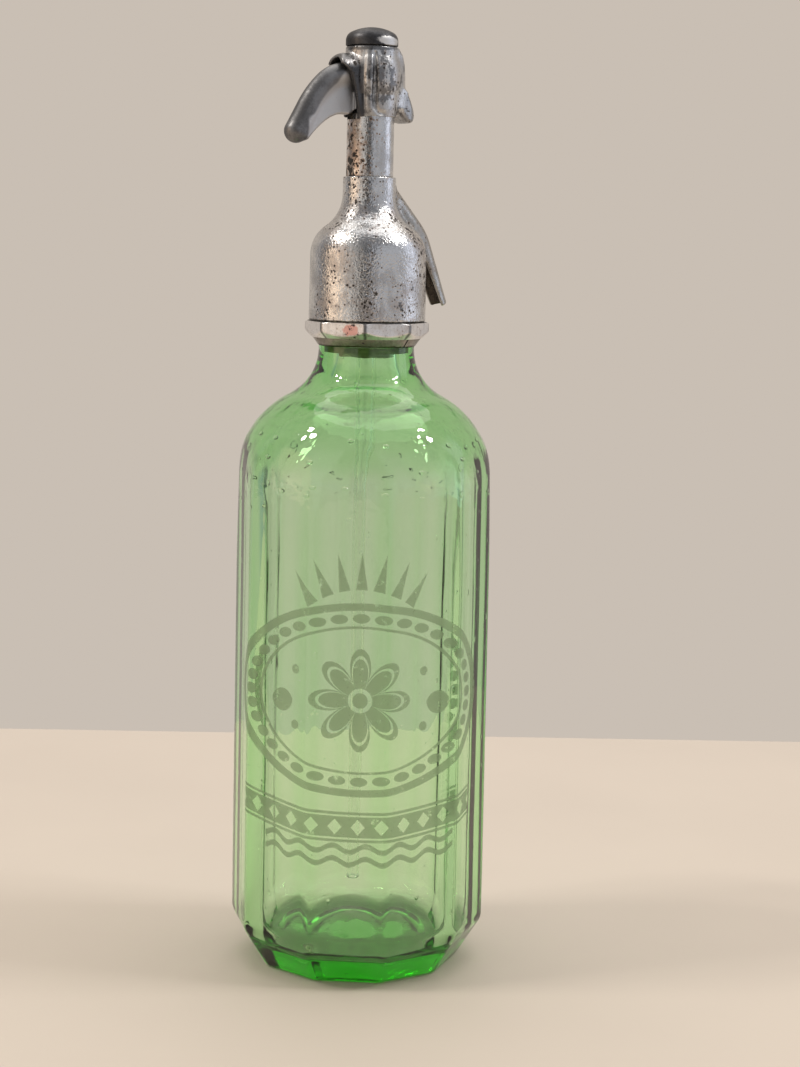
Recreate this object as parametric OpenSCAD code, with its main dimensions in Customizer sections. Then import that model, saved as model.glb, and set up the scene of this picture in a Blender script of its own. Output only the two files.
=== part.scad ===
// Soda siphon with a decagonal glass bottle and a small side lever.
// The bottle stands on z = 0 around the Z axis. The lever points to -X and the spout to +X.

/* [Bottle] */
// Radius to the corners between the flat panels
body_r = 45.1; // [44.9:0.1:45.4]
// Number of flat panels round the body
panels = 10; // [10:1:12]
// Radius that rounds the panel corners and carries the shoulder
round_r = 44.6; // [44:0.1:44.8]
// Radius of the round bore inside the body
bore_r = 38.5; // [37:0.5:40]
// Height of the bevelled heel
heel_h = 14.5; // [12:0.5:17]
// Distance from the axis to a heel panel at the table
foot_apothem = 34.2; // [33:0.2:36]
// Height of the inner floor at its lowest ring
floor_z = 9.5; // [8:0.5:12]
// Outer radius of the visible neck
neck_r = 16.5; // [16:0.1:17]
// Radius of the bore in the neck
neck_bore_r = 9.5; // [9.5:0.1:9.8]

/* [Collar] */
// Height of the collar's lower edge
collar_z = 217.1; // [217:0.1:217.5]
// Radius of the octagonal nut to its corners
nut_corner_r = 21.5; // [21.2:0.1:22]
// Height of the octagonal nut
nut_h = 5.6; // [5:0.2:6]

/* [Head] */
// Outer radius of the bell at its lower edge
bell_r = 20.1; // [20:0.1:20.6]
// Outer radius of the lower stem
lower_stem_r = 9.1; // [9:0.1:9.4]
// Outer radius of the upper stem
upper_stem_r = 8.05; // [7.9:0.05:8.2]
// Height of the joint line between the two stems
stem_joint_z = 274.5; // [274:0.5:276]
// Height of the lower edge of the lever housing
housing_z = 294.6; // [294.4:0.1:294.8]
// Height of the housing's upper face
housing_top_z = 318; // [317.8:0.1:318.2]
// Overall height with the dome cap
total_h = 324.5; // [324:0.1:325]

/* [Lever] */
// Distance of the lever's pivot from the axis
pivot_x = 5.8; // [5.7:0.05:5.9]
// Height of the lever's pivot
pivot_z = 299.2; // [299:0.1:299.3]
// Angle that the lever turns through when it is pressed
press_angle = 18; // [14:1:18]
// Distance from the pivot to the middle of the lifting nose
toe_arm = 5.57; // [5.5:0.01:5.6]
// Radius of the rounded back of the lever
ridge_r = 3.4; // [3.2:0.1:3.5]
// Thickness of the lever's web
web_t = 4.4; // [4:0.2:4.6]

/* [Spout] */
// Radius of the spout tube
spout_r = 4.3; // [4.1:0.1:4.5]
// Radius of the spout's bore
spout_bore_r = 3; // [2.6:0.1:3.2]
// Slope of the spout where it leaves the stem, in degrees below level
spout_slope_root = 49; // [47:1:51]
// Slope of the spout at its mouth, in degrees below level
spout_slope_end = 70; // [68:1:72]

/* [Valve] */
// Radius of the plunger rod
rod_r = 2; // [1.9:0.05:2]
// Radial clearance of the sliding parts
slide_gap = 0.06; // [0.04:0.01:0.08]
// Turns of the return spring
spring_turns = 7; // [6:1:8]
// Wire diameter of the return spring
spring_wire = 0.8; // [0.7:0.1:0.9]

/* [Hidden] */
$fn = 96;
step = 0.02;
lap = 0.4;

// Bottle
panel_angle = 360 / panels;
body_apothem = body_r * cos(panel_angle / 2);
neck_top_z = collar_z - 0.2;
shoulder_fillet_r = 18.2;
shoulder_round_r = 33.6;
shoulder_top_z = neck_top_z - 0.6;
wall_t = round_r - bore_r;
bore_fillet_r = shoulder_fillet_r + neck_r - neck_bore_r;
bore_round_r = shoulder_round_r - wall_t;
bore_corner_r = 8;
floor_rise = 2.5;
punt_r = 24;
punt_rise = 2.5;
groove_r = 14;
bead_r = 16.2;
bead_z = 227.8;
bead_slope_h = 1.6;
mouth_z = 237;
lip_r = 1.2;

// Collar
ring_bore_r = groove_r + 0.2;
ring_low_r = 16.7;
ring_high_r = 18.7;
ring_cone_h = 2.8;
thread_r = 18;
thread_top_z = 238;
split_gap = 0.3;
split_angle = -72;
nut_z = collar_z + ring_cone_h;
nut_turn = 12.5;
nut_bore_r = thread_r + 0.05;

// Head body
bell_gap = 0.25;
bell_z = nut_z + nut_h + bell_gap;
bell_thread_r = thread_r + 0.15;
bell_ceiling_z = 239.9;
bell_shoulder_r = 19.9;
bell_fillet_r = 13.3;
bell_round_r = 12;
bell_fillet_z = 268.7;
ferrule_socket_r = 5.65;
chamber_r = 6.2;
chamber_z = 256.5;
chamber_top_z = 270.5;
spigot_r = 7;

// Dip tube and its holder
tube_r = 3.5;
tube_bore_r = 2.3;
tube_low_z = 27.5;
tube_top_z = 246;
bung_r = 9.4;
bung_low_z = 213;
ferrule_low_z = 230;
ferrule_top_z = 249.2;
ferrule_body_r = 8.8;
gasket_r = 16.1;

// Valve
seat_bore_r = 2.2;
seat_lip_r = 3.4;
seat_lip_z = 257.5;
seal_r = 4.8;
seal_z = seat_lip_z + 0.02;
seal_h = 3;
seal_proud = 0.5;
holder_r = 5.4;
holder_h = 4.5;
holder_z = seal_z + seal_proud;
packing_z = 277.5;
packing_h = 3.5;
packing_r = 4.6;
gland_z = 271;
piston_r = 3.6;
piston_bore_r = piston_r + slide_gap;
piston_z = 292.5;
piston_top_z = 305.5;
piston_bore_z = 283;
rod_socket_h = 2.8;
rod_top_z = piston_z + rod_socket_h;

// Lever housing
slot_w = 8.2;
slot_arch_z = 309.7;
slot_low_z = housing_z - 0.9;
slot_deep_x = -3.2;
slot_deep_top_z = 301.8;
slot_shallow_x = -5.6;
frame_w = 11.4;
spring_bore_r = 4.6;
cap_bore_r = 6.05;
cap_plug_z = 311;
socket_top_z = 296.2;
pin_r = 1;
pin_len = 20;

// Lever
half_press = press_angle / 2;
hub_r = 1.9;
hub_w = 7.4;
toe_w = 3;
toe_half_h = 0.7;
nose_r = 1.3;
nose_gap = 0.08;
nose_z = pivot_z - toe_arm * sin(half_press);
window_top_z = nose_z + nose_r + nose_gap;
window_h = 3.3;
window_w = toe_w + 0.4;
window_end_x = 1.6;
tip_r = 4;
ridge_start = [-9.8, 308.9];
ridge_bend = 42;
ridge_bend_r = 12.3;
ridge_sweep = 20.8;
ridge_sweep_r = 31.3;
ridge_end_len = 8.96;
web_path = [[-25.6, 286.4], [-21.4, 290], [-17, 296.2], [-9.8, 295]];

// Cap and spring
cap_r = 8.9;
cap_side_h = 2.2;
cap_corner_r = 3.2;
cap_dome_r = 16;
cap_plug_r = 6;
cap_bore_top_z = 320.6;
washer_h = 0.8;
washer_z = piston_top_z;
spring_r = 3.6;
spring_low_z = washer_z + washer_h + spring_wire / 2 + 0.02;
spring_high_z = cap_bore_top_z - spring_wire / 2 - 0.02;
coil_rings = 8;
coil_sides = 6;

// Spout
spout_root = [7.2, 267.8];
spout_bend_r = 20;
spout_straight_h = 10.9;
spout_end_len = 21.5;
mouth_cut_point = [21.3, 246];
mouth_cut_slope = 65;
port_r = 2.4;

// Points of an arc in a profile, from one angle to another
function arc(c, r, a0, a1, n = 16) =
    [for (i = [0 : n]) c + r * [cos(a0 + (a1 - a0) * i / n), sin(a0 + (a1 - a0) * i / n)]];

// S-shaped fall from radius a to the larger radius b: a hollow fillet, then a round shoulder
function fall_angle(a, b, r1, r2) = acos((a + r1 - b + r2) / (r1 + r2));
function s_fall(a, b, z1, r1, r2) =
    let (t = fall_angle(a, b, r1, r2), z2 = z1 - (r1 + r2) * sin(t))
    concat(arc([a + r1, z1], r1, 180, 180 + t, 12), arc([b - r2, z2], r2, t, 0, 16));

// Point of a cubic curve through its four control points
function cubic(p, t) =
    pow(1 - t, 3) * p[0] + 3 * t * pow(1 - t, 2) * p[1]
    + 3 * t * t * (1 - t) * p[2] + t * t * t * p[3];
function cubic_points(p, n) = [for (i = [0 : n]) cubic(p, i / n)];

// A disc or ring between two heights
module ring(r, z0, z1, bore = 0) {
    difference() {
        translate([0, 0, z0]) cylinder(r = r, h = z1 - z0);
        if (bore > 0) translate([0, 0, z0 - 1]) cylinder(r = bore, h = z1 - z0 + 2);
    }
}

// A plate that follows a profile drawn in X and Z, centred on y = 0
module side_plate(points, width) {
    translate([0, width / 2, 0])
        rotate([90, 0, 0])
            linear_extrude(height = width) polygon(points);
}

// A round bar along Y through a point in X and Z
module cross_bar(x, z, r, width) {
    translate([x, width / 2, z]) rotate([90, 0, 0]) cylinder(r = r, h = width);
}

// A bent round bar in the XZ plane
module bent_bar(c, bend_r, a0, a1, r) {
    translate([c[0], 0, c[1]])
        rotate([90, 0, 0])
            rotate([0, 0, a0])
                rotate_extrude(angle = a1 - a0)
                    translate([bend_r, 0]) circle(r = r);
}

// Bottle
module bottle_outline() {
    rotate_extrude() polygon(concat(
        [[0, 0], [0, mouth_z], [bead_r - lip_r, mouth_z]],
        arc([bead_r - lip_r, mouth_z - lip_r], lip_r, 90, 0, 6),
        [[bead_r, bead_z + bead_slope_h], [groove_r, bead_z], [groove_r, neck_top_z], [neck_r, neck_top_z]],
        s_fall(neck_r, round_r, shoulder_top_z, shoulder_fillet_r, shoulder_round_r),
        [[round_r, 0]]
    ));
}

module bottle_panels() {
    cylinder(r = body_r, h = mouth_z + 1, $fn = panels);
}

// Wedge that bevels the heel below one panel
module heel_wedge() {
    side_plate([
        [foot_apothem, -1],
        [foot_apothem, 0],
        [body_apothem, heel_h],
        [body_apothem + 4, heel_h],
        [body_apothem + 4, -1]
    ], body_r);
}

module bottle_cavity() {
    c = [bore_r - bore_corner_r, floor_z + bore_corner_r];
    rotate_extrude() polygon(concat(
        [[0, floor_z + floor_rise], [c[0] / 2, floor_z + floor_rise * 0.7]],
        arc(c, bore_corner_r, -90, 0, 10),
        s_bore(),
        [[neck_bore_r, mouth_z + 1], [0, mouth_z + 1]]
    ));
}

// The bore's fall, listed from the body up to the neck, keeps the wall's thickness
function s_bore() =
    let (f = s_fall(neck_bore_r, bore_r, shoulder_top_z, bore_fillet_r, bore_round_r), n = len(f))
    [for (i = [0 : n - 1]) f[n - 1 - i]];

module bottle() {
    color([0.45, 0.75, 0.38, 0.45])
    difference() {
        intersection() {
            bottle_outline();
            bottle_panels();
        }
        for (k = [0 : panels - 1])
            rotate([0, 0, panel_angle * (k + 0.5)]) heel_wedge();
        bottle_cavity();
        // Shallow hollow under the base
        rotate_extrude() polygon([
            [0, -1],
            [punt_r + 3, -1],
            [punt_r, 0.2],
            [punt_r * 0.6, punt_rise],
            [0, punt_rise]
        ]);
    }
}

// Dip tube and its holder
module dip_tube() {
    color([0.75, 0.88, 0.72, 0.5]) ring(tube_r, tube_low_z, tube_top_z, tube_bore_r);
}

module tube_bung() {
    color([0.42, 0.42, 0.22])
    difference() {
        rotate_extrude() polygon([
            [0, bung_low_z],
            [bung_r - 1, bung_low_z],
            [bung_r, bung_low_z + 1.5],
            [bung_r, ferrule_low_z - 0.05],
            [0, ferrule_low_z - 0.05]
        ]);
        translate([0, 0, bung_low_z - 1]) cylinder(r = tube_r, h = 30);
    }
}

module tube_ferrule() {
    color([0.72, 0.6, 0.32])
    difference() {
        union() {
            ring(ferrule_body_r, ferrule_low_z, bell_ceiling_z - 0.05);
            ring(ferrule_socket_r - 0.05, bell_ceiling_z - 1, ferrule_top_z);
        }
        translate([0, 0, ferrule_low_z - 1]) cylinder(r = tube_r, h = tube_top_z - ferrule_low_z + 1);
        translate([0, 0, ferrule_low_z]) cylinder(r = tube_bore_r, h = 30);
    }
}

module neck_gasket() {
    color([0.25, 0.22, 0.18]) ring(gasket_r, mouth_z, bell_ceiling_z, ferrule_body_r + 0.1);
}

// Split collar round the neck, with the thread that carries the nut and the bell
module collar_half(turn) {
    color([0.55, 0.54, 0.5])
    difference() {
        rotate_extrude() polygon([
            [ring_bore_r, collar_z],
            [ring_low_r, collar_z],
            [ring_high_r, nut_z],
            [thread_r, nut_z],
            [thread_r, thread_top_z],
            [bead_r + 0.25, thread_top_z],
            [bead_r + 0.25, bead_z + bead_slope_h],
            [ring_bore_r, bead_z - 0.1]
        ]);
        rotate([0, 0, split_angle + turn])
            translate([-split_gap / 2, -40, collar_z - 1])
                cube([80, 80, 40]);
    }
}

module collar_half_front() {
    collar_half(0);
}

module collar_half_rear() {
    collar_half(180);
}

module collar_nut() {
    top_z = nut_z + nut_h;
    color([0.66, 0.65, 0.62])
    difference() {
        intersection() {
            translate([0, 0, nut_z])
                rotate([0, 0, nut_turn])
                    cylinder(r = nut_corner_r, h = nut_h, $fn = 8);
            rotate_extrude() polygon([
                [0, nut_z],
                [nut_corner_r - 2.6, nut_z],
                [nut_corner_r + 1, nut_z + 3.46],
                [nut_corner_r + 1, top_z - 1.15],
                [nut_corner_r - 1.1, top_z],
                [0, top_z]
            ]);
        }
        translate([0, 0, nut_z - 1]) cylinder(r = nut_bore_r, h = nut_h + 2);
    }
}

// Head body: the bell and the lower stem in one casting
function bell_outline() = concat(
    [[0, stem_joint_z], [lower_stem_r - 0.3, stem_joint_z], [lower_stem_r, stem_joint_z - 0.3]],
    s_fall(lower_stem_r, bell_shoulder_r, bell_fillet_z, bell_fillet_r, bell_round_r),
    [[bell_r, bell_z + 0.3], [bell_r - 0.3, bell_z], [0, bell_z]]
);

// Line of the spout's bore through the stem wall
module port_bar(r, back, ahead) {
    translate([spout_root[0], 0, spout_root[1]])
        rotate([0, 90 + spout_slope_root, 0])
            translate([0, 0, -back])
                cylinder(r = r, h = back + ahead);
}

module head_body() {
    color([0.7, 0.69, 0.67])
    difference() {
        rotate_extrude() polygon(bell_outline());
        translate([0, 0, bell_z - 1]) cylinder(r = bell_thread_r, h = bell_ceiling_z - bell_z + 1);
        translate([0, 0, bell_z]) cylinder(r = ferrule_socket_r, h = chamber_z - bell_z);
        translate([0, 0, chamber_z]) cylinder(r = chamber_r, h = chamber_top_z - chamber_z + 0.01);
        translate([0, 0, chamber_top_z]) cylinder(r = spigot_r, h = 10);
        port_bar(port_r, 2.5, 8);
    }
}

// Spout: root along the bell's shoulder, a bend, then a straight mouth
spout_root_len = spout_straight_h / sin(spout_slope_root);
spout_bend_start = spout_root + spout_root_len * [cos(spout_slope_root), -sin(spout_slope_root)];
spout_bend_c = spout_bend_start - spout_bend_r * [sin(spout_slope_root), cos(spout_slope_root)];
spout_bend_end = spout_bend_c + spout_bend_r * [sin(spout_slope_end), cos(spout_slope_end)];

// The bend and the mouth are a hair thinner, so that each runs into the piece before it
module spout_path(r, root_back) {
    translate([spout_root[0], 0, spout_root[1]])
        rotate([0, 90 + spout_slope_root, 0])
            translate([0, 0, -root_back])
                cylinder(r = r, h = spout_root_len + root_back);
    bent_bar(spout_bend_c, spout_bend_r, 89 - spout_slope_end, 91 - spout_slope_root, r - step);
    translate([spout_bend_end[0], 0, spout_bend_end[1]])
        rotate([0, 90 + spout_slope_end, 0])
            translate([0, 0, -lap])
                cylinder(r = r - 2 * step, h = spout_end_len + lap + root_back);
}

module spout() {
    color([0.62, 0.61, 0.58])
    difference() {
        spout_path(spout_r, 0);
        spout_path(spout_bore_r, 3);
        // The tube is fitted to the casting that it is brazed to
        rotate_extrude() polygon([for (p = bell_outline()) p + [p[0] > 0 ? 0.02 : 0, 0]]);
        // The mouth is cut slantwise, open towards the bottle
        translate([mouth_cut_point[0], -10, mouth_cut_point[1]])
            rotate([0, mouth_cut_slope, 0])
                translate([0, 0, -30])
                    cube([40, 20, 30]);
    }
}

// Valve
module valve_seat() {
    color([0.72, 0.6, 0.32])
    rotate_extrude() polygon([
        [seat_bore_r, ferrule_top_z + 0.05],
        [ferrule_socket_r - 0.05, ferrule_top_z + 0.05],
        [ferrule_socket_r - 0.05, chamber_z],
        [seat_lip_r, chamber_z],
        [seat_bore_r + 0.7, seat_lip_z],
        [seat_bore_r, seat_lip_z]
    ]);
}

module valve_seal() {
    color([0.16, 0.15, 0.14]) ring(seal_r, seal_z, seal_z + seal_h);
}

module seal_holder() {
    color([0.72, 0.6, 0.32])
    difference() {
        ring(holder_r, holder_z, holder_z + holder_h);
        translate([0, 0, holder_z - 1]) cylinder(r = seal_r, h = 1 + seal_h - seal_proud);
        translate([0, 0, holder_z]) cylinder(r = rod_r, h = holder_h + 1);
    }
}

module plunger_rod() {
    color([0.75, 0.64, 0.38]) ring(rod_r, seal_z + seal_h, rod_top_z);
}

module stem_tube() {
    color([0.68, 0.67, 0.65])
    difference() {
        union() {
            ring(spigot_r - 0.05, chamber_top_z + 0.05, stem_joint_z + 1);
            ring(upper_stem_r, stem_joint_z + 0.05, socket_top_z);
        }
        translate([0, 0, chamber_top_z - 1])
            cylinder(r = packing_r, h = packing_z + packing_h - chamber_top_z + 1);
        translate([0, 0, chamber_top_z]) cylinder(r = rod_r + slide_gap, h = 20);
        translate([0, 0, piston_bore_z]) cylinder(r = piston_bore_r, h = 20);
        lever_slot();
    }
}

module packing_washer() {
    color([0.2, 0.18, 0.16]) ring(packing_r - 0.03, packing_z, packing_z + packing_h, rod_r + slide_gap);
}

module gland_nut() {
    color([0.72, 0.6, 0.32]) ring(packing_r - 0.03, gland_z, packing_z - 0.02, rod_r + slide_gap);
}

// Slot for the lever: deep round the hub, shallow above, with an arched top
module lever_slot() {
    low = [-30, -slot_w / 2, slot_low_z];
    translate(low) cube([30 + slot_deep_x, slot_w, slot_deep_top_z - slot_low_z]);
    translate(low) cube([30 + slot_shallow_x, slot_w, slot_arch_z - slot_low_z]);
    translate([-30, 0, slot_arch_z]) rotate([0, 90, 0]) cylinder(r = slot_w / 2, h = 30 + slot_shallow_x);
}

// Raised rim of the slot, which stands out above the lever as a hood
module slot_frame() {
    intersection() {
        union() {
            translate([-30, 0, slot_arch_z]) rotate([0, 90, 0]) cylinder(r = frame_w / 2, h = 30);
            translate([-30, -frame_w / 2, housing_z]) cube([30, frame_w, slot_arch_z - housing_z]);
        }
        side_plate([
            [-14.2, 311.7], [-14, 313.4], [-13.2, 314.8], [-11.6, 316],
            [-9.6, 317], [-6, 317.6], [-4, 317.6], [-4, housing_z],
            [-7.4, housing_z], [-8.5, 299], [-9.6, 304.5], [-10.5, 307.6],
            [-11.8, 309.6], [-13.1, 310.8]
        ], 20);
    }
}

// Round barrel of the housing
module housing_barrel() {
    rotate_extrude() polygon(concat(
        [[0, housing_z], [8.6, housing_z], [9.0, 297]],
        arc([-9.8, 308], 20, -18, 20, 10),
        [[8.9, housing_top_z - 0.2], [8.7, housing_top_z], [0, housing_top_z]]
    ));
}

// Swollen back of the housing with the finger rest
module housing_back() {
    intersection() {
        side_plate([
            [0, 317.2], [7.6, 317.2], [9.6, 315.8], [11, 313], [12, 309.6],
            [12.4, 305.8], [12.6, 302.6], [14.4, 299.6], [16, 297.2], [16.6, 295.6],
            [16.2, 294.2], [15, 293.3], [13.4, 293], [11.8, 293.3], [10.2, 294.7],
            [9, 296.6], [6, 298], [0, 298]
        ], 20);
        union() {
            translate([6.6, 0, 290]) cylinder(r = 6, h = 30);
            translate([12, 0, 290]) cylinder(r = 4.6, h = 13);
        }
    }
}

module lever_housing() {
    color([0.66, 0.65, 0.62])
    difference() {
        union() {
            housing_barrel();
            housing_back();
            slot_frame();
        }
        translate([0, 0, 280]) cylinder(r = upper_stem_r + 0.02, h = socket_top_z - 280 + 0.05);
        translate([0, 0, housing_z]) cylinder(r = piston_bore_r, h = 20);
        translate([0, 0, piston_top_z - 0.3]) cylinder(r = spring_bore_r, h = 20);
        translate([0, 0, cap_plug_z]) cylinder(r = cap_bore_r, h = 20);
        lever_slot();
        cross_bar(-pivot_x, pivot_z, pin_r, 40);
    }
}

module lever_pin() {
    color([0.5, 0.49, 0.47])
    intersection() {
        cross_bar(-pivot_x, pivot_z, pin_r, pin_len);
        // Filed flush with the housing
        housing_barrel();
    }
}

// Centre line of the lever's rounded back: a bend, a wider sweep and a straight end
ridge_a = 90 + ridge_bend;
ridge_b = ridge_a + ridge_sweep;
bend_c = ridge_start - [0, ridge_bend_r];
sweep_c = bend_c + (ridge_bend_r - ridge_sweep_r) * [cos(ridge_a), sin(ridge_a)];
sweep_end = sweep_c + ridge_sweep_r * [cos(ridge_b), sin(ridge_b)];
tip = sweep_end + ridge_end_len * [-sin(ridge_b), cos(ridge_b)];

// Lever: web, rounded back, ball tip, hub and the nose that lifts the plunger
// Each piece of the back is a hair thinner than the bend and runs a little into its neighbour
module lever_back() {
    translate([ridge_start[0] - lap, 0, ridge_start[1]])
        rotate([0, 90, 0])
            cylinder(r = ridge_r - step, h = 1.6 + lap);
    bent_bar(bend_c, ridge_bend_r, 90, ridge_a, ridge_r);
    bent_bar(sweep_c, ridge_sweep_r, ridge_a - 1, ridge_b, ridge_r - step);
    translate([sweep_end[0], 0, sweep_end[1]])
        rotate([0, -ridge_b, 0])
            translate([0, 0, -lap])
                cylinder(r = ridge_r - 2 * step, h = ridge_end_len + lap);
    translate([tip[0], 0, tip[1]]) sphere(r = tip_r);
}

module lever_web() {
    top = concat(
        arc(bend_c, ridge_bend_r, 90, ridge_a, 4),
        arc(sweep_c, ridge_sweep_r, ridge_a + 4, ridge_b, 3)
    );
    side_plate(concat(
        [[-8.1, 311.8], [-9.7, 311.8]],
        top,
        [tip],
        cubic_points(web_path, 8),
        [[-8.4, 295.7], [-6.7, 297.6], [-6.9, 301]]
    ), web_t);
}

module lever() {
    color([0.42, 0.42, 0.42])
    difference() {
        union() {
            lever_web();
            lever_back();
            cross_bar(-pivot_x, pivot_z, hub_r, hub_w);
            side_plate([
                [-8.2, 296.6], [-6.6, 297.6], [-pivot_x, pivot_z], [-6.2, 300.9], [-8.2, 302.6]
            ], hub_w);
            translate([-pivot_x, 0, pivot_z])
                rotate([0, half_press, 0])
                    translate([0, -toe_w / 2, -toe_half_h])
                        cube([toe_arm, toe_w, 2 * toe_half_h]);
            cross_bar(-pivot_x + toe_arm * cos(half_press), nose_z, nose_r, toe_w);
        }
        cross_bar(-pivot_x, pivot_z, pin_r + 0.03, 40);
    }
}

module plunger_head() {
    color([0.75, 0.64, 0.38])
    difference() {
        ring(piston_r, piston_z, piston_top_z);
        translate([0, 0, piston_z - 1]) cylinder(r = rod_r, h = rod_socket_h + 1);
        translate([-10, -window_w / 2, window_top_z - window_h])
            cube([10 + window_end_x, window_w, window_h]);
    }
}

// Spring and cap
module spring_washer() {
    color([0.6, 0.58, 0.52]) ring(spring_r + 0.6, washer_z, washer_z + washer_h, rod_r);
}

function coil_point(i) =
    let (n = spring_turns * coil_rings, t = i / n, a = i * 360 / coil_rings)
    [spring_r * cos(a), spring_r * sin(a), spring_low_z + (spring_high_z - spring_low_z) * t];

// Ring of points round the wire, square to the coil
function coil_ring(i) =
    let (a = i * 360 / coil_rings, out = [cos(a), sin(a), 0], c = coil_point(i))
    [for (k = [0 : coil_sides - 1])
        let (b = 360 * k / coil_sides)
        c + spring_wire / 2 * (cos(b) * out + sin(b) * [0, 0, 1])];

module return_spring() {
    n = spring_turns * coil_rings;
    points = [for (i = [0 : n]) each coil_ring(i)];
    // Least gap between a turn and the next, measured on the coil's own points
    gaps = [for (i = [0 : n - coil_rings]) norm(coil_point(i + coil_rings) - coil_point(i)) - spring_wire];
    echo(least_spring_gap = min(gaps));
    color([0.55, 0.55, 0.53])
    polyhedron(points = points, faces = concat(
        [[for (k = [0 : coil_sides - 1]) k]],
        [for (i = [0 : n - 1]) for (k = [0 : coil_sides - 1])
            let (a = i * coil_sides + k, b = i * coil_sides + (k + 1) % coil_sides)
            each [[a, a + coil_sides, b + coil_sides], [a, b + coil_sides, b]]],
        [[for (k = [0 : coil_sides - 1]) n * coil_sides + coil_sides - 1 - k]]
    ));
}

module spring_cap() {
    corner = [cap_r - cap_corner_r, housing_top_z + cap_side_h];
    dome_c = total_h - cap_dome_r;
    meet = asin((cap_r - cap_corner_r) / (cap_dome_r - cap_corner_r));
    color([0.3, 0.3, 0.3])
    difference() {
        rotate_extrude() polygon(concat(
            [[0, cap_plug_z], [cap_plug_r, cap_plug_z]],
            [[cap_plug_r, housing_top_z], [cap_r, housing_top_z]],
            arc(corner, cap_corner_r, 0, 90 - meet, 8),
            arc([0, dome_c], cap_dome_r, 90 - meet, 90, 8)
        ));
        translate([0, 0, cap_plug_z - 1]) cylinder(r = spring_bore_r, h = cap_bore_top_z - cap_plug_z + 1);
    }
}

bottle();
dip_tube();
tube_bung();
tube_ferrule();
neck_gasket();
collar_half_front();
collar_half_rear();
collar_nut();
head_body();
spout();
valve_seat();
valve_seal();
seal_holder();
plunger_rod();
stem_tube();
packing_washer();
gland_nut();
lever_housing();
lever_pin();
lever();
plunger_head();
spring_washer();
return_spring();
spring_cap();
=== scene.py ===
"""Looks of a soda siphon: glass bottle, worn plated head, lever, spout, floor, light and camera.

Shapes are worked out in millimetres in the row frame and written to meshes in metres.
"""

import logging
import math
from dataclasses import dataclass, field
from enum import Enum
from typing import Callable, Dict, List, Optional, Sequence, Tuple

import bpy
import numpy as np
from mathutils import Matrix, Vector


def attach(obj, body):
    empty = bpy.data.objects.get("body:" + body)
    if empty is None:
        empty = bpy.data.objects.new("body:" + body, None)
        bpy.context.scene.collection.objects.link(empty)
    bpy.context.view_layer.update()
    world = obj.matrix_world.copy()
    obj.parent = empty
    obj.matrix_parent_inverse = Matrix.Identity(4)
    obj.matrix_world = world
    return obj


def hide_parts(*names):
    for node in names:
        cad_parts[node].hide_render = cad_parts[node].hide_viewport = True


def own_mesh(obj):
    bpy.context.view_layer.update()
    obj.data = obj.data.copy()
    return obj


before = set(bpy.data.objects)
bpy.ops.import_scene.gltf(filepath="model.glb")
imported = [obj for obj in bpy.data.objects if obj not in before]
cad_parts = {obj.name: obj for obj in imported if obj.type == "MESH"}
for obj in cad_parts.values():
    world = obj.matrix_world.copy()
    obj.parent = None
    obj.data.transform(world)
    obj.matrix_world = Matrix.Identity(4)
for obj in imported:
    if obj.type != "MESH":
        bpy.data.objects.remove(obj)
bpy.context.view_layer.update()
LOG = logging.getLogger("siphon")
MM = 0.001  # metres
MOST_CUT = 0.45  # share of a side's length that a softened corner may take
COARSE = 4  # grid steps to one coarse step
NEAR = 1.6  # coarse steps from the surface within which values are exact
MARGIN = 2.5  # grid steps added round a piece's box
PASSES = 3  # moves of each vertex on to the surface
NUDGE = 0.02  # mm either way, to find the slope of a distance function
LEAST_SLOPE = 0.2  # squared slope below which a move gets no longer
LOWER, UPPER, WHOLE, MIDDLE = slice(0, -1), slice(1, None), slice(None), slice(1, -1)
CORNERS = ((0, 0), (1, 0), (1, 1), (0, 1))  # of a grid square, in order round it
MIX_INPUTS = (0, 6, 7)  # the factor and the two colours of a Mix node that is set to colours
Piece, Socket, Material = bpy.types.Object, bpy.types.NodeSocket, bpy.types.Material
Array = np.ndarray
Field = Callable[[Array, Array, Array], Array]
Colour = Tuple[float, float, float]
Spots = Tuple[Tuple[float, float, float, float, Colour], ...]


# ---------------------------------------------------------------- numbers


def ramp(a: Array, width: float) -> Array:
    """Straight rise from 0 at a = 0 to 1 at a = width, flat beyond both."""
    return np.clip(a / width, 0, 1)


def stretches(*parts: Tuple[float, float, int]) -> Array:
    """Values of even stretches, each a first value, a last value and a count, one after another."""
    return np.concatenate([np.linspace(*part) for part in parts])


def around(count: int) -> Array:
    """Row of evenly spaced angles round the axis."""
    return np.linspace(0, 2 * math.pi, count, endpoint=False)[None, :]


def smooth_min(a: Array, b: Array, k: float) -> Array:
    """Lesser of a and b with a rounded crossing: min(a, b) - k h^2 / 4, h = max(1 - |a - b| / k, 0).

    Args:
        a: First values.
        b: Second values.
        k: Width of the rounded stretch.

    Returns:
        The blended values.
    """
    h = np.clip(1.0 - np.abs(a - b) / k, 0.0, 1.0)
    return np.minimum(a, b) - 0.25 * k * h * h


def smooth_max(a: Array, b: Array, k: float) -> Array:
    """Greater of a and b with a rounded crossing."""
    return -smooth_min(-a, -b, k)


def arc(c: Sequence[float], r: float, a0: float, a1: float, n: int) -> Array:
    """Points c + r (cos a, sin a) for n + 1 angles from a0 to a1 degrees.

    Args:
        c: Centre.
        r: Radius.
        a0: First angle.
        a1: Last angle.
        n: Number of steps.

    Returns:
        Array of shape (n + 1, 2).
    """
    a = np.radians(np.linspace(a0, a1, n + 1))
    return np.stack([c[0] + r * np.cos(a), c[1] + r * np.sin(a)], -1)


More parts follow.
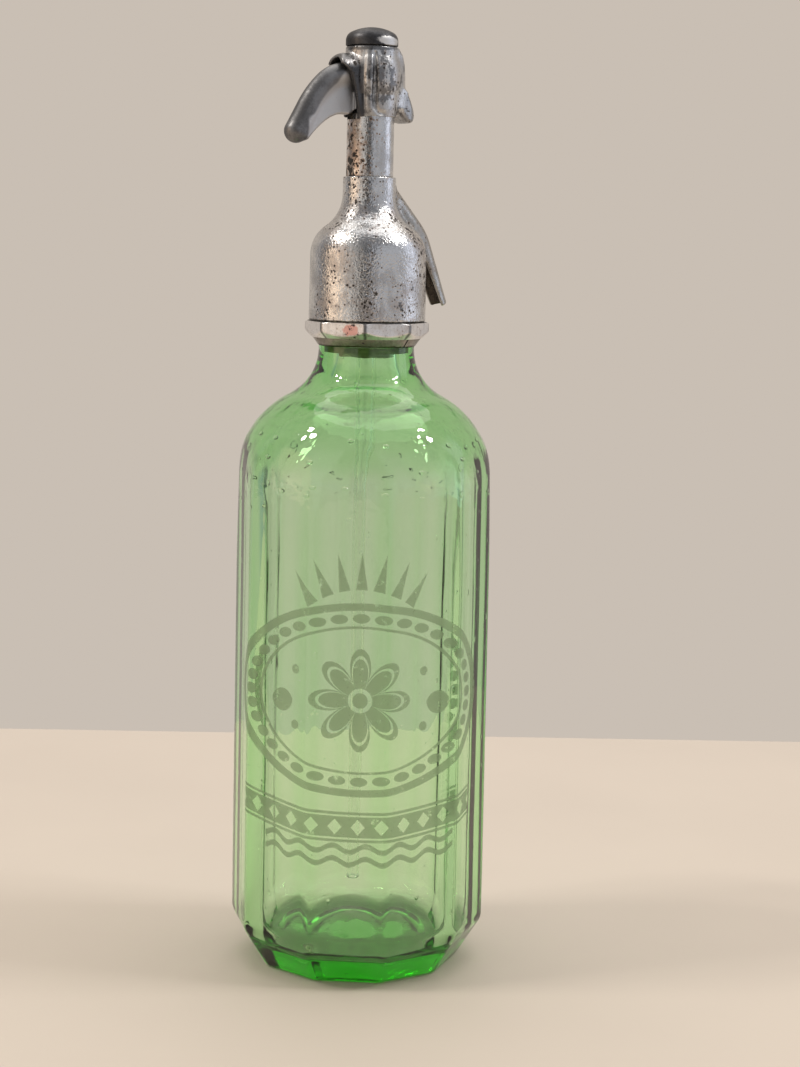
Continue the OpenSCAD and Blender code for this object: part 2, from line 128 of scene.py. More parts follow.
def s_fall(a: float, b: float, z1: float, r1: float, r2: float, n: int) -> Array:
    """S-shaped fall from radius a down to radius b: a hollow arc r1, then a round arc r2 tangent to it.

    The arcs turn through t with cos t = (a + r1 - b + r2) / (r1 + r2).

    Args:
        a: Upper radius.
        b: Lower, larger radius.
        z1: Height where the fall begins.
        r1: Radius of the hollow arc.
        r2: Radius of the round arc.
        n: Steps of each arc.

    Returns:
        Profile points (radius, height) from the top down.
    """
    t = math.degrees(math.acos((a + r1 - b + r2) / (r1 + r2)))
    z2 = z1 - (r1 + r2) * math.sin(math.radians(t))
    hollow = arc((a + r1, z1), r1, 180, 180 + t, n)
    return np.concatenate([hollow, arc((b - r2, z2), r2, t, 0, n)[1:]])


def facet_radius(theta: Array, sides: int, apothem: Array, phase: float, k: float) -> Array:
    """Polar radius of a polygon, apothem / cos(angle from a flat's middle), blended over its corners.

    Args:
        theta: Angles in radians.
        sides: Number of sides.
        apothem: Distance from the axis to a flat.
        phase: Angle of one flat's middle in degrees.
        k: Width of the rounded corner.

    Returns:
        Radius at each angle.
    """
    w = 2 * math.pi / sides
    off = np.abs((theta - math.radians(phase) + w / 2) % w - w / 2)
    return smooth_min(apothem / np.cos(off), apothem / np.cos(w - off), k)


def ripple(a: Array, b: Array, seed: float) -> Array:
    """Slow unevenness between about -1 and 1: a sum of four sines of a and b with unrelated waves.

    Args:
        a: First coordinate in radians.
        b: Second coordinate in radians.
        seed: Shift that gives another pattern.

    Returns:
        The unevenness at each place.
    """
    return 0.4 * (
        np.sin(a + 1.7 * b + seed)
        + 0.7 * np.sin(2 * a - 1.1 * b + 2.1 * seed)
        + 0.5 * np.sin(3 * a + 2.3 * b + 3.7 * seed)
        + 0.3 * np.sin(5 * a - 3.1 * b + 0.7 * seed)
    )


def polygon_distance(x: Array, y: Array, points: Sequence[Sequence[float]]) -> Array:
    """Signed distance to a polygon: least distance to its edges, negative inside by the crossing rule.

    Args:
        x: First coordinates.
        y: Second coordinates.
        points: Corners in order.

    Returns:
        Signed distances with the shape of x.
    """
    p = np.asarray(points, float)
    best = np.full(x.shape, 1e9)
    inside = np.zeros(x.shape, bool)
    for a, b in zip(p, np.roll(p, -1, 0)):
        d = b - a
        t = np.clip(((x - a[0]) * d[0] + (y - a[1]) * d[1]) / (d @ d), 0.0, 1.0)
        best = np.minimum(best, (x - a[0] - t * d[0]) ** 2 + (y - a[1] - t * d[1]) ** 2)
        if a[1] != b[1]:
            cross = (a[1] > y) != (b[1] > y)
            inside ^= cross & (x < d[0] * (y - a[1]) / d[1] + a[0])
    return np.where(inside, -1.0, 1.0) * np.sqrt(best)


# ---------------------------------------------------------------- meshes


def linked(name: str, data: bpy.types.ID) -> Piece:
    """New object that shows the data, linked into the scene."""
    obj = bpy.data.objects.new(name, data)
    bpy.context.scene.collection.objects.link(obj)
    return obj


def values(items: Sequence[object], key: str, kind: type, width: int = 1) -> Array:
    """One property of all vertices, loops or faces as an array."""
    out = np.empty(len(items) * width, kind)
    items.foreach_get(key, out)
    return out


def write_mesh(name: str, verts: Array, quads: Array, tris: Optional[Array], sharp: float) -> Piece:
    """Puts vertices (mm) and faces into a new object, with outward faces and smooth shading.

    Args:
        name: Piece name.
        verts: Array (n, 3) in millimetres.
        quads: Array (m, 4) of indices.
        tris: Array (k, 3) of indices, or None.
        sharp: Angle in degrees over which an edge is shaded sharp.

    Returns:
        The new object.
    """
    tris = np.zeros((0, 3), int) if tris is None else tris
    split = np.concatenate([quads[:, [0, 1, 2]], quads[:, [0, 2, 3]], tris])
    a, b, c = verts[split[:, 0]], verts[split[:, 1]], verts[split[:, 2]]
    if np.einsum("ij,ij->i", a, np.cross(b, c)).sum() < 0:
        quads, tris = quads[:, ::-1], tris[:, ::-1]
    mesh = bpy.data.meshes.new(name)
    mesh.vertices.add(len(verts))
    mesh.vertices.foreach_set("co", (verts * MM).astype(np.float32).ravel())
    loops = np.concatenate([quads.ravel(), tris.ravel()]).astype(np.int32)
    mesh.loops.add(len(loops))
    mesh.loops.foreach_set("vertex_index", loops)
    counts = np.concatenate([np.full(len(quads), 4), np.full(len(tris), 3)])
    starts = np.concatenate([[0], np.cumsum(counts)[:-1]]).astype(np.int32)
    mesh.polygons.add(len(counts))
    mesh.polygons.foreach_set("loop_start", starts)
    mesh.update(calc_edges=True)
    mesh.validate()
    mesh.shade_smooth()
    mesh.set_sharp_from_angle(angle=math.radians(sharp))
    return linked(name, mesh)


def grid_quads(rows: int, cols: int, close_rows: bool, close_cols: bool) -> Array:
    """Quads between neighbouring rows and columns of a grid numbered row by row.

    Args:
        rows: Number of rows.
        cols: Number of columns.
        close_rows: Whether the last row joins the first.
        close_cols: Whether the last column joins the first.

    Returns:
        Array (m, 4) of vertex numbers.
    """
    i = np.arange(rows if close_rows else rows - 1)[:, None]
    j = np.arange(cols if close_cols else cols - 1)[None, :]
    i2, j2 = (i + 1) % rows, (j + 1) % cols
    return np.stack([i * cols + j, i * cols + j2, i2 * cols + j2, i2 * cols + j], -1).reshape(-1, 4)


def end_fans(rows: int, cols: int) -> Array:
    """Triangles from a grid's first and last row to the two points that are numbered after the grid."""
    j = np.arange(cols)
    j2, n, last = (j + 1) % cols, rows * cols, (rows - 1) * cols
    low, high = np.full(cols, n), np.full(cols, n + 1)
    return np.concatenate([np.stack([j2, j, low], -1), np.stack([last + j, last + j2, high], -1)])


def turned(name: str, radius: Array, height: Array, poles: bool, sharp: float) -> Piece:
    """Surface (r cos t, r sin t, z) on a grid of rows and angles, closed round the axis.

    Args:
        name: Piece name.
        radius: Array (rows, columns) of radii, the columns evenly spaced angles.
        height: Array (rows,) or (rows, columns) of heights.
        poles: True closes both ends on the axis, False joins the last row to the first.
        sharp: Sharp edge angle in degrees.

    Returns:
        The new object.
    """
    rows, cols = radius.shape
    t = around(cols)
    z = np.broadcast_to(height[:, None] if height.ndim == 1 else height, radius.shape)
    verts = np.stack([radius * np.cos(t), radius * np.sin(t), z], -1).reshape(-1, 3)
    quads = grid_quads(rows, cols, not poles, True)
    tris = None
    if poles:
        verts = np.concatenate([verts, [[0, 0, z[0].mean()], [0, 0, z[-1].mean()]]])
        tris = end_fans(rows, cols)
    return write_mesh(name, verts, quads, tris, sharp)


def lathe(name: str, profile: Array, columns: int, poles: bool, sharp: float) -> Piece:
    """Revolves a profile of (radius, height) points round the axis.

    Args:
        name: Piece name.
        profile: Array (n, 2) of points in order, a closed loop unless poles is set.
        columns: Number of angles.
        poles: Whether both ends close on the axis.
        sharp: Sharp edge angle in degrees.

    Returns:
        The new object.
    """
    return turned(name, np.repeat(profile[:, :1], columns, 1), profile[:, 1], poles, sharp)


def softened(points: Sequence[Sequence[float]], r: float, n: int, closed: bool = True) -> Array:
    """Profile with each corner replaced by a quadratic curve that starts and ends r from it.

    B(t) = (1-t)^2 A + 2t(1-t) P + t^2 B for the corner P and points A, B on its two sides.

    Args:
        points: Corners.
        r: Length taken off each side, as far as MOST_CUT lets it.
        n: Steps of each curve.
        closed: Whether the profile is a loop.

    Returns:
        The new points.
    """
    p = np.asarray(points, float)
    out: List[Array] = []
    for i in range(len(p)):
        if not closed and i in (0, len(p) - 1):
            out.append(p[i : i + 1])
            continue
        a, b = p[i - 1] - p[i], p[(i + 1) % len(p)] - p[i]
        la, lb = np.linalg.norm(a), np.linalg.norm(b)
        s, e = p[i] + a * min(r / la, MOST_CUT), p[i] + b * min(r / lb, MOST_CUT)
        t = np.linspace(0, 1, n + 1)[:, None]
        out.append((1 - t) ** 2 * s + 2 * t * (1 - t) * p[i] + t * t * e)
    return np.concatenate(out)


def refined(axes: Sequence[Array], field_of: Field, step: float) -> Array:
    """Distance field on a grid: coarse values everywhere, exact ones near the surface.

    Args:
        axes: The grid's three coordinate arrays.
        field_of: The distance function.
        step: Grid pitch.

    Returns:
        Array of the grid's shape.
    """
    coarse_axes = [np.linspace(a[0], a[-1], int(math.ceil((len(a) - 1) / COARSE)) + 1) for a in axes]
    value = field_of(*np.meshgrid(*coarse_axes, indexing="ij"))
    for k, (a, c) in enumerate(zip(axes, coarse_axes)):
        f = np.clip((a - c[0]) / (c[1] - c[0]), 0, len(c) - 1 - 1e-9)
        i = f.astype(int)
        w = (f - i).reshape([-1 if m == k else 1 for m in range(3)])
        value = np.take(value, i, k) * (1 - w) + np.take(value, i + 1, k) * w
    near = np.abs(value) < NEAR * COARSE * step
    value[near] = field_of(*(grid[near] for grid in np.meshgrid(*axes, indexing="ij")))
    return value


def span(k: int, part: slice, rest: slice) -> Tuple[slice, ...]:
    """Index into a 3-D array: part along axis k, rest along the other two."""
    return tuple(part if m == k else rest for m in range(3))


def implicit(
    name: str, field_of: Field, low: Sequence[float], high: Sequence[float], step: float, sharp: float
) -> Piece:
    """Surface where a distance function of (x, y, z) is zero, one vertex per crossed grid cell.

    Each vertex starts at the mean of the cell's edge crossings and moves by -f grad f / |grad f|^2 three
    times.

    Args:
        name: Piece name.
        field_of: The distance function, negative inside.
        low: Lowest corner in millimetres.
        high: Highest corner in millimetres.
        step: Grid pitch in millimetres.
        sharp: Sharp edge angle in degrees.

    Returns:
        The new object.
    """
    axes = [np.arange(l - MARGIN * step, h + MARGIN * step, step) for l, h in zip(low, high)]
    f = refined(axes, field_of, step)
    inside = f < 0
    shape = tuple(n - 1 for n in f.shape)
    total, count = np.zeros(shape + (3,)), np.zeros(shape)
    faces: List[Array] = []
    for k in range(3):
        a, b = span(k, LOWER, WHOLE), span(k, UPPER, WHOLE)
        cut = inside[a] != inside[b]
        t = np.where(cut, f[a] / np.where(cut, f[a] - f[b], 1.0), 0.0)
        o1, o2 = [m for m in range(3) if m != k]
        for d1, d2 in sorted(CORNERS):
            s = [WHOLE] * 3
            s[o1], s[o2] = slice(d1, shape[o1] + d1), slice(d2, shape[o2] + d2)
            c = cut[tuple(s)]
            count += c
            total[..., k] += t[tuple(s)] * c
            total[..., o1] += d1 * c
            total[..., o2] += d2 * c
    active = count > 0
    number = np.full(shape, -1)
    number[active] = np.arange(active.sum())
    cells = np.argwhere(active)
    verts = (cells + total[active] / count[active][:, None]) * step + np.array([a[0] for a in axes])
    for k in range(3):
        o1, o2 = [m for m in range(3) if m != k]
        a, b = span(k, LOWER, MIDDLE), span(k, UPPER, MIDDLE)
        cut = inside[a] != inside[b]
        at = np.argwhere(cut)
        at[:, [o1, o2]] += 1
        quad = np.empty((len(at), 4), int)
        for m, (d1, d2) in enumerate(CORNERS):
            c = at.copy()
            c[:, o1] -= d1
            c[:, o2] -= d2
            quad[:, m] = number[tuple(c.T)]
        flip = inside[a][cut] == (k == 1)
        quad[flip] = quad[flip][:, ::-1]
        faces.append(quad)
    for _ in range(PASSES):
        slopes = [field_of(*(verts + e).T) - field_of(*(verts - e).T) for e in NUDGE * np.eye(3)]
        grad = np.stack(slopes, -1) / (2 * NUDGE)
        size = np.maximum((grad**2).sum(-1), LEAST_SLOPE)
        verts = verts - np.clip(field_of(*verts.T) / size, -step, step)[:, None] * grad
    return write_mesh(name, verts, np.concatenate(faces), None, sharp)


# ---------------------------------------------------------------- shader graphs


def maths(kind: str) -> Callable[..., "Num"]:
    """Method that adds a Math node of that kind."""

    def method(self: "Num", *others: object) -> "Num":
        """Adds the node for this number and the others, and returns its result."""
        node = self.graph.add("Math")
        node.operation = kind
        for socket, item in zip(node.inputs, (self,) + others):
            self.graph.feed(socket, item)
        return Num(self.graph, node.outputs[0])

    return method


class Num:
    """A number in a shader graph: a socket or a constant, with arithmetic that adds Math nodes."""

    __add__ = __radd__ = maths("ADD")
    __sub__ = maths("SUBTRACT")
    __mul__ = __rmul__ = maths("MULTIPLY")
    __truediv__ = maths("DIVIDE")
    abs, sqrt, power, fraction = maths("ABSOLUTE"), maths("SQRT"), maths("POWER"), maths("FRACT")
    sin, cos, atan2, most = maths("SINE"), maths("COSINE"), maths("ARCTAN2"), maths("MAXIMUM")

    def __init__(self, graph: "Graph", value: object) -> None:
        """Wraps a socket or float."""
        self.graph = graph
        self.value = value

    def __rsub__(self, o: float) -> "Num":
        """Difference from a constant."""
        return Num(self.graph, o) - self

    def reach(self, o: "Num") -> "Num":
        """Length of the vector (self, o)."""
        return (self * self + o * o).sqrt()

    def wrapped(self, o: float) -> "Num":
        """Distance from the nearest whole multiple of o, signed, between -o/2 and o/2."""
        return (self / o + 0.5).fraction() * o - 0.5 * o

    def step(self, lo: float, hi: float) -> "Num":
        """Smooth rise from 0 at lo to 1 at hi; falls if hi is less than lo."""
        down = hi < lo
        node = self.graph.add(
            "MapRange", Value=self, From_Min=min(lo, hi), From_Max=max(lo, hi), To_Min=down, To_Max=not down
        )
        node.interpolation_type = "SMOOTHSTEP"
        return Num(self.graph, node.outputs["Result"])

    def under(self, limit: float, soft: float) -> "Num":
        """1 below limit, 0 above it, with an edge of width soft."""
        return self.step(limit + soft / 2, limit - soft / 2)

    def band(self, lo: float, hi: float, soft: float) -> "Num":
        """1 between lo and hi, 0 outside, with edges of width soft."""
        return (self - 0.5 * (lo + hi)).abs().under(0.5 * (hi - lo), soft)


class Graph:
    """A material's or a world's node tree, with short calls for the nodes that the finishes use."""

    def __init__(self, owner: bpy.types.ID) -> None:
        """Opens the tree with a node that gives the coordinates."""
        owner.use_nodes = True
        self.owner = owner
        self.tree = owner.node_tree
        self.coords = self.add("TexCoord").outputs
        self.object = self.coords["Object"]

    @classmethod
    def of_material(cls, name: str) -> "Graph":
        """A new material's graph, without the shader that it starts with."""
        owner = bpy.data.materials.new(name)
        owner.use_nodes = True
        owner.node_tree.nodes.clear()
        return cls(owner)

    def add(self, kind: str, **sockets: object) -> bpy.types.Node:
        """Adds a shader node and feeds its inputs; the keys are their names with _ for a space."""
        node = self.tree.nodes.new("ShaderNode" + kind)
        for key, item in sockets.items():
            self.feed(node.inputs[key.replace("_", " ")], item)
        return node

    def feed(self, socket: Socket, item: object) -> None:
        """Links a socket or number to an input, or sets its constant."""
        item = item.value if isinstance(item, Num) else item
        if isinstance(item, Socket):
            self.tree.links.new(item, socket)
        elif isinstance(item, (tuple, list)):
            alpha = (1.0,) if len(item) < len(socket.default_value) else ()
            socket.default_value = tuple(item) + alpha
        else:
            socket.default_value = float(item)

    def axes(self, vector: Socket) -> Tuple[Num, Num, Num]:
        """The three parts of a vector as numbers."""
        return tuple(Num(self, s) for s in self.add("SeparateXYZ", Vector=vector).outputs)

    def moved(
        self, scale: Sequence[float], location: Sequence[float] = (0, 0, 0), vector: Optional[Socket] = None
    ) -> Socket:
        """The vector, or else the object's coordinates, scaled and shifted by a Mapping node."""
        return self.add("Mapping", Vector=vector or self.object, Scale=scale, Location=location).outputs[0]

    def noise(self, scale: float, detail: float, rough: float, vector: Optional[Socket] = None) -> Num:
        """Noise of that many spots per metre, from about 0.3 to 0.7."""
        node = self.add("TexNoise", Vector=vector or self.object, Scale=scale, Detail=detail, Roughness=rough)
        return Num(self, node.outputs["Fac"])

    def cells(self, scale: float, vector: Socket, flat: bool = False) -> Tuple[Num, Num]:
        """Voronoi cells: distance to the nearest point in cell sizes, and that cell's random number."""
        node = self.add("TexVoronoi", Vector=vector, Scale=scale)
        node.voronoi_dimensions = "2D" if flat else "3D"
        return Num(self, node.outputs["Distance"]), self.axes(node.outputs["Color"])[0]

    def tone(self) -> Num:
        """The mesh's own value "tone" from 0 to 1, which marks where painted shade goes in a bore or round a
        slot, and where painted light goes on a web.
        """
        node = self.add("Attribute")
        node.attribute_name = "tone"
        return Num(self, node.outputs["Fac"])

    def spot(self, azimuth: float, height: float, half_w: float, half_h: float, ragged: Num) -> Num:
        """Ragged oval on a round wall: 1 where (arc / half_w)^2 + (rise / half_h)^2 is under about 1.

        Args:
            azimuth: Angle of its middle in degrees.
            height: Height of its middle in millimetres.
            half_w: Half width in millimetres.
            half_h: Half height in millimetres.
            ragged: Noise that frays the edge.

        Returns:
            The mask.
        """
        x, y, z = self.axes(self.object)
        across = (y.atan2(x) - math.radians(azimuth)).wrapped(2 * math.pi) * x.reach(y) * (1000 / half_w)
        rise = (z * 1000 - height) / half_h
        return (across.reach(rise) + 2.2 * (ragged - 0.5)).under(0.9, 0.25)

    def mix(self, fac: object, a: object, b: object) -> Socket:
        """Colour a where fac is 0 and b where it is 1."""
        node = self.add("Mix")
        node.data_type = "RGBA"
        for number, item in zip(MIX_INPUTS, (fac, a, b)):
            self.feed(node.inputs[number], item)
        return node.outputs[2]

    def bump(self, height: Num, depth: float) -> Socket:
        """Normal for a height of 0 to 1 that stands for depth metres."""
        return self.add("Bump", Strength=1.0, Distance=depth, Height=height).outputs[0]

    def clear(self, ior: float, rough: object, normal: Socket) -> Socket:
        """Clear glass shader."""
        looks = {"Base_Color": (1.0, 1.0, 1.0), "Roughness": rough, "IOR": ior, "Transmission_Weight": 1.0}
        return self.shade(Normal=normal, **looks)

    def shade(self, **sockets: object) -> Socket:
        """Principled shader."""
        return self.add("BsdfPrincipled", **sockets).outputs[0]

    def finish(self, shader: Socket, tint: Optional[Colour] = None, density: float = 0.0) -> Material:
        """Material with that shader and, where a tint is given, colour that deepens with the way through."""
        out = self.add("OutputMaterial", Surface=shader)
        if tint:
            volume = self.add("VolumeAbsorption", Color=tint, Density=density).outputs[0]
            self.feed(out.inputs["Volume"], volume)
        return self.owner


# ---------------------------------------------------------------- finishes


@dataclass(frozen=True)
class PlatedMetal:
    """Old plating on cast metal: pebbly and bright, with black pits, bare grey patches and tarnish; painted
    shade goes where the mesh's tone is 1 and along listed corners.

    Pits are spread over jittered cells. Each cell's own random number, raised where pits gather,
    gives its pit's size, and noise frays the outline. A lean gathers them on the camera's left.
    """

    name: str
    bright: Colour = (0.66, 0.66, 0.665)
    dull: Colour = (0.44, 0.44, 0.45)
    warm: Colour = (0.42, 0.30, 0.23)
    bare: Colour = (0.15, 0.15, 0.155)
    # inner is painted shade, laid on where the mesh's tone is 1.
    inner: Colour = (0.12, 0.12, 0.12)
    black: Colour = (0.045, 0.04, 0.037)
    left: Tuple[float, float] = (-0.857, 0.515)
    depth: float = 0.00015
    gloss: float = 0.22
    pits: float = 0.42
    patches: float = 0.0
    tarnish: float = 0.25
    pebble: float = 1.0
    lean: float = 0.0
    spots: Spots = ()
    # corners: angles where painted shade runs along a nut's corners.
    corners: Tuple[float, ...] = ()
    seed: float = 0.0

    def pit_mask(self, g: Graph, at: Socket, gather: Num) -> Tuple[Num, Num]:
        """Black pits of three sizes.

        Args:
            g: The graph.
            at: Shifted coordinates.
            gather: Extra share of pits at each place, about -0.3 to 0.3.

        Returns:
            The pits, and a wider soft mask round them.
        """
        fray = g.noise(1100, 5, 0.75, at) - 0.5
        pits, halo = None, None
        for scale, share, reach in (
            (1000, self.pits, 0.9), (520, self.pits * 0.66, 0.95), (280, self.pits * 0.32, 0.7)
        ):
            d, pick = g.cells(scale, at)
            edge = d + 1.3 * fray - (pick + gather - (1.0 - share)) * reach
            pit, near = edge.under(0.0, 0.07), edge.under(0.16, 0.3)
            pits = pit if pits is None else pits.most(pit)
            halo = near if halo is None else halo.most(near)
        return pits, halo

    def build(self) -> Material:
        """Builds the material.

        Returns:
            The material.
        """
        g = Graph.of_material(self.name)
        at = g.moved((1, 1, 1), (self.seed, 0.37 * self.seed, 0.11 * self.seed))
        x, y, _ = g.axes(g.object)
        gather = 1.9 * (g.noise(95, 3, 0.5, g.moved((1, 1, 0.4), (3 + self.seed, 1, 2))) - 0.5)
        if self.lean:
            gather = gather + self.lean * ((x * self.left[0] + y * self.left[1]) / x.reach(y))
        pits, halo = self.pit_mask(g, at, gather)
        slow = g.noise(120, 6, 0.68, at)
        fine = g.noise(2300, 3, 0.6, at)
        grain = g.noise(1250, 2, 0.5, at)
        rub = g.noise(800, 4, 0.7, g.moved((1, 1, 0.15), (2, 2, self.seed)))
        worn = (slow + 0.35 * (rub - 0.5)).step(0.42, 0.64)
        base = g.mix(worn * 0.8, self.bright, self.dull)
        brown = (slow + 0.4 * gather).step(0.5, 0.72) * self.tarnish
        base = g.mix(brown.most(halo * self.tarnish * 1.4), base, self.warm)
        ragged = g.noise(170, 8, 0.78, g.moved((1, 1, 0.7), (1, 5 + self.seed, 2)))
        if self.patches:
            level = 0.66 - 0.22 * self.patches
            bare = (ragged + 0.25 * gather * self.patches).step(level, level + 0.025)
            base = g.mix(bare * 0.9, base, self.bare)
        for azimuth, height, half_w, half_h, colour in self.spots:
            base = g.mix(g.spot(azimuth, height, half_w, half_h, ragged) * 0.9, base, colour)
        # Painted shade along each corner of a nut, every eighth of a turn from the listed angle, in the bare
        # colour.
        for phase in self.corners:
            away = (y.atan2(x) - math.radians(phase)).wrapped(math.pi / 4).abs() * 21.0 + 1.6 * (ragged - 0.5)
            base = g.mix(away.under(0.55, 0.7) * 0.85, base, self.bare)
        # Painted shade: where tone is 1 the colour turns to inner, in a spout's bore and on the housing's
        # slot, hood and finger rest.
        base = g.mix(g.tone() * 0.95, base, self.inner)
        base = g.mix((fine.step(0.6, 0.68) * 0.5).most(pits), base, self.black)
        rough = self.gloss + 0.16 * worn + 0.14 * halo + 0.3 * pits + 0.2 * (fine - 0.5)
        height = self.pebble * (0.95 * grain + 0.25 * fine) - 0.3 * pits + 0.3 * slow
        normal = g.bump(height, self.depth)
        return g.finish(g.shade(Base_Color=base, Metallic=1.0 - 0.5 * pits, Roughness=rough, Normal=normal))


@dataclass(frozen=True)
class SmoothMetal:
    """Plain worked metal: a colour with slow variation and fine rubbing, and another, painted light, where
    tone is 1.
    """

    name: str
    light: Colour
    dark: Colour
    gloss: float = 0.3
    spread: float = 0.15
    streak: Tuple[float, float, float] = (1.0, 1.0, 1.0)
    depth: float = 0.00006
    toned: Optional[Colour] = None
    spots: Spots = ()

    def build(self) -> Material:
        """Builds the material.

        Returns:
            The material.
        """
        g = Graph.of_material(self.name)
        slow = g.noise(90, 5, 0.6)
        fine = g.noise(1300, 5, 0.65, g.moved(self.streak))
        speck = g.noise(700, 6, 0.75, g.moved((1, 1, 1), (5, 1, 3))).step(0.66, 0.70)
        blend = (slow + 0.5 * (fine - 0.5)).step(0.36, 0.66)
        base = g.mix(blend, self.light, self.dark)
        # Painted light: where tone is 1 the colour turns to toned, as on the lever's web.
        if self.toned:
            base = g.mix(g.tone(), base, self.toned)
        for azimuth, height, half_w, half_h, colour in self.spots:
            base = g.mix(g.spot(azimuth, height, half_w, half_h, g.noise(170, 8, 0.78)), base, colour)
        base = g.mix(speck * 0.7, base, tuple(0.3 * c for c in self.dark))
        rough = self.gloss + self.spread * (blend - 0.3) + 0.2 * speck
        height = 0.6 * fine + 0.5 * slow - 0.5 * speck
        normal = g.bump(height, self.depth)
        return g.finish(g.shade(Base_Color=base, Metallic=1.0, Roughness=rough, Normal=normal))


@dataclass(frozen=True)
class Rubber:
    """Aged rubber: matt, mottled, with a faint grain."""

    name: str
    light: Colour
    dark: Colour
    depth: float = 0.00008

    def build(self) -> Material:
        """Builds the material."""
        g = Graph.of_material(self.name)
        mottle = g.noise(220, 6, 0.65)
        grain = g.noise(1800, 3, 0.6)
        base = g.mix(mottle.step(0.35, 0.65), self.light, self.dark)
        normal = g.bump(grain + 0.6 * mottle, self.depth)
        return g.finish(g.shade(Base_Color=base, Roughness=0.55 + 0.3 * (grain - 0.3), Normal=normal))


@dataclass(frozen=True)
class PlainGlass:
    """Thin clear glass with a slight tint and a ripple drawn along Z."""

    name: str
    tint: Colour = (0.55, 0.9, 0.45)
    density: float = 40.0
    ior: float = 1.5
    depth: float = 0.00002

    def build(self) -> Material:
        """Builds the material."""
        g = Graph.of_material(self.name)
        waves = g.noise(300, 3, 0.5, g.moved((1, 1, 0.12)))
        film = g.noise(160, 5, 0.65)
        glass = g.clear(self.ior, 0.02 + 0.05 * film, g.bump(waves, self.depth))
        return g.finish(glass, self.tint, self.density)


@dataclass(frozen=True)
class BottleGlass:
    """Green pressed glass with seeds, drawn streaks, dents on the shoulder and an etched ornament.

    The UV map holds the place on the wall: u is the arc length from the front and v the height, in
    decimetres.
    """

    name: str = "bottle_glass"
    tint: Colour = (0.22, 0.86, 0.10)
    density: float = 64.0
    ior: float = 1.52
    depth: float = 0.00022
    frost: Colour = (0.27, 0.35, 0.22)
    frost_depth: float = 0.00003
    decimetre: float = 100.0
    middle_z: float = 101.0

    def ornament(self, g: Graph) -> Num:
        """Etched ornament: an oval of two lines with beads, a rosette, rays, a dotted ribbon and waves.

        Lengths are millimetres from the oval's middle, and e is the softness of an edge.

        Args:
            g: The graph.

        Returns:
            1 where the glass is etched.
        """
        u0, v0, _ = g.axes(g.coords["UV"])
        u, v = u0 * self.decimetre, v0 * self.decimetre - self.middle_z
        e = 0.5
        oval = (u / 52.0).reach(v / 33.0)
        lines = oval.band(0.925, 1.0, 0.012).most(oval.band(0.74, 0.765, 0.012))
        turn = v.atan2(u * 0.64)
        beads = (turn.wrapped(math.pi / 18) * 14.0).reach((oval - 0.843) * 20.0).under(0.95, 0.12)
        r = u.reach(v)
        petal = r - (7.0 + 10.5 * (v.atan2(u) * 4.0).cos().abs().power(0.7))
        rosette = petal.under(0.0, e) * (petal.band(-3.4, -2.2, e) * -1.0 + 1.0) * r.band(4.2, 30.0, e)
        centre = r.under(2.6, e)
        across, drop_y = u.abs(), v + 1.0
        drop = ((across - 29.0).reach(drop_y) + 0.45 * drop_y.most(0.0)).under(4.6, e)
        dots = (across - 23.0).reach(v.abs() - 9.5).under(1.5, e)
        up = v - 8.0
        ray_r, ray_a = u.reach(up), u.atan2(up)
        rays = (
            ray_a.wrapped(0.2).abs() * ray_r + (ray_r - 30.0) * 0.16
        ).under(1.9, e) * ray_r.band(29.5, 46.0, e)
        rays = rays * ray_a.abs().under(0.72, 0.02)
        low = v + 43.5 - 0.0022 * (u * u)
        pip = (u.wrapped(8.0).abs() + low.abs() * 0.9).under(2.5, e)
        edge = low.abs().band(3.6, 4.3, 0.4)
        ribbon = low.band(-5.2, 5.2, e) * across.under(47.0, e) * (1.0 - pip) * (1.0 - edge)
        wave = v + 55.5 - 0.0022 * (u * u) - 1.1 * (u * 0.55).sin()
        waves = wave.wrapped(4.4).abs().under(0.9, e) * wave.band(-2.2, 6.6, e) * across.under(36.0, e)
        mask = lines
        for part in (beads, rosette, centre, drop, dots, rays, ribbon, waves):
            mask = mask.most(part)
        return mask

    def build(self) -> Material:
        """Builds the material.

        Returns:
            The material.
        """
        g = Graph.of_material(self.name)
        _, _, z = g.axes(g.object)
        shoulder = (z * 1000).band(163, 201, 14)
        marks = []
        for scale, at, flat, size, soft, rare, width in (
            (150, g.moved((1, 1, 0.7)), False, 0.11, 0.08, 0.72, 0.03),
            (420, g.moved((1, 1, 0.8), (2, 1, 3)), False, 0.13, 0.08, 0.86, 0.02),
            (7, g.moved((1, 2, 1), (0.3, 0.6, 0), g.coords["UV"]), True, 0.075, 0.045, 0.35, 0.05),
        ):
            away, pick = g.cells(scale, at, flat)
            marks.append(away.under(size, soft) * pick.step(rare, rare + width))
        seed, fine, dent = marks
        draw = g.noise(110, 3, 0.5, g.moved((1, 1, 0.06)))
        orange = g.noise(75, 3, 0.5, g.moved((1, 1, 0.5), (4, 2, 1)))
        wave = g.noise(105, 2, 0.5, g.moved((1, 1, 1), (8, 2, 5)))
        height = 0.6 * draw + 0.15 * orange + 0.5 * seed + 0.25 * fine + (2.2 * dent + 1.1 * wave) * shoulder
        frosted = g.shade(
            Base_Color=self.frost,
            Roughness=0.55,
            IOR=self.ior,
            Transmission_Weight=0.55,
            Normal=g.bump(g.noise(4200, 2, 0.5), self.frost_depth),
        )
        mask = self.ornament(g) * g.noise(340, 6, 0.7).step(0.28, 0.44) * 0.78
        mixer = g.add("MixShader")
        clear = g.clear(self.ior, 0.0, g.bump(height, self.depth))
        for socket, item in zip(mixer.inputs, (mask, clear, frosted)):
            g.feed(socket, item)
        return g.finish(mixer.outputs[0], self.tint, self.density)


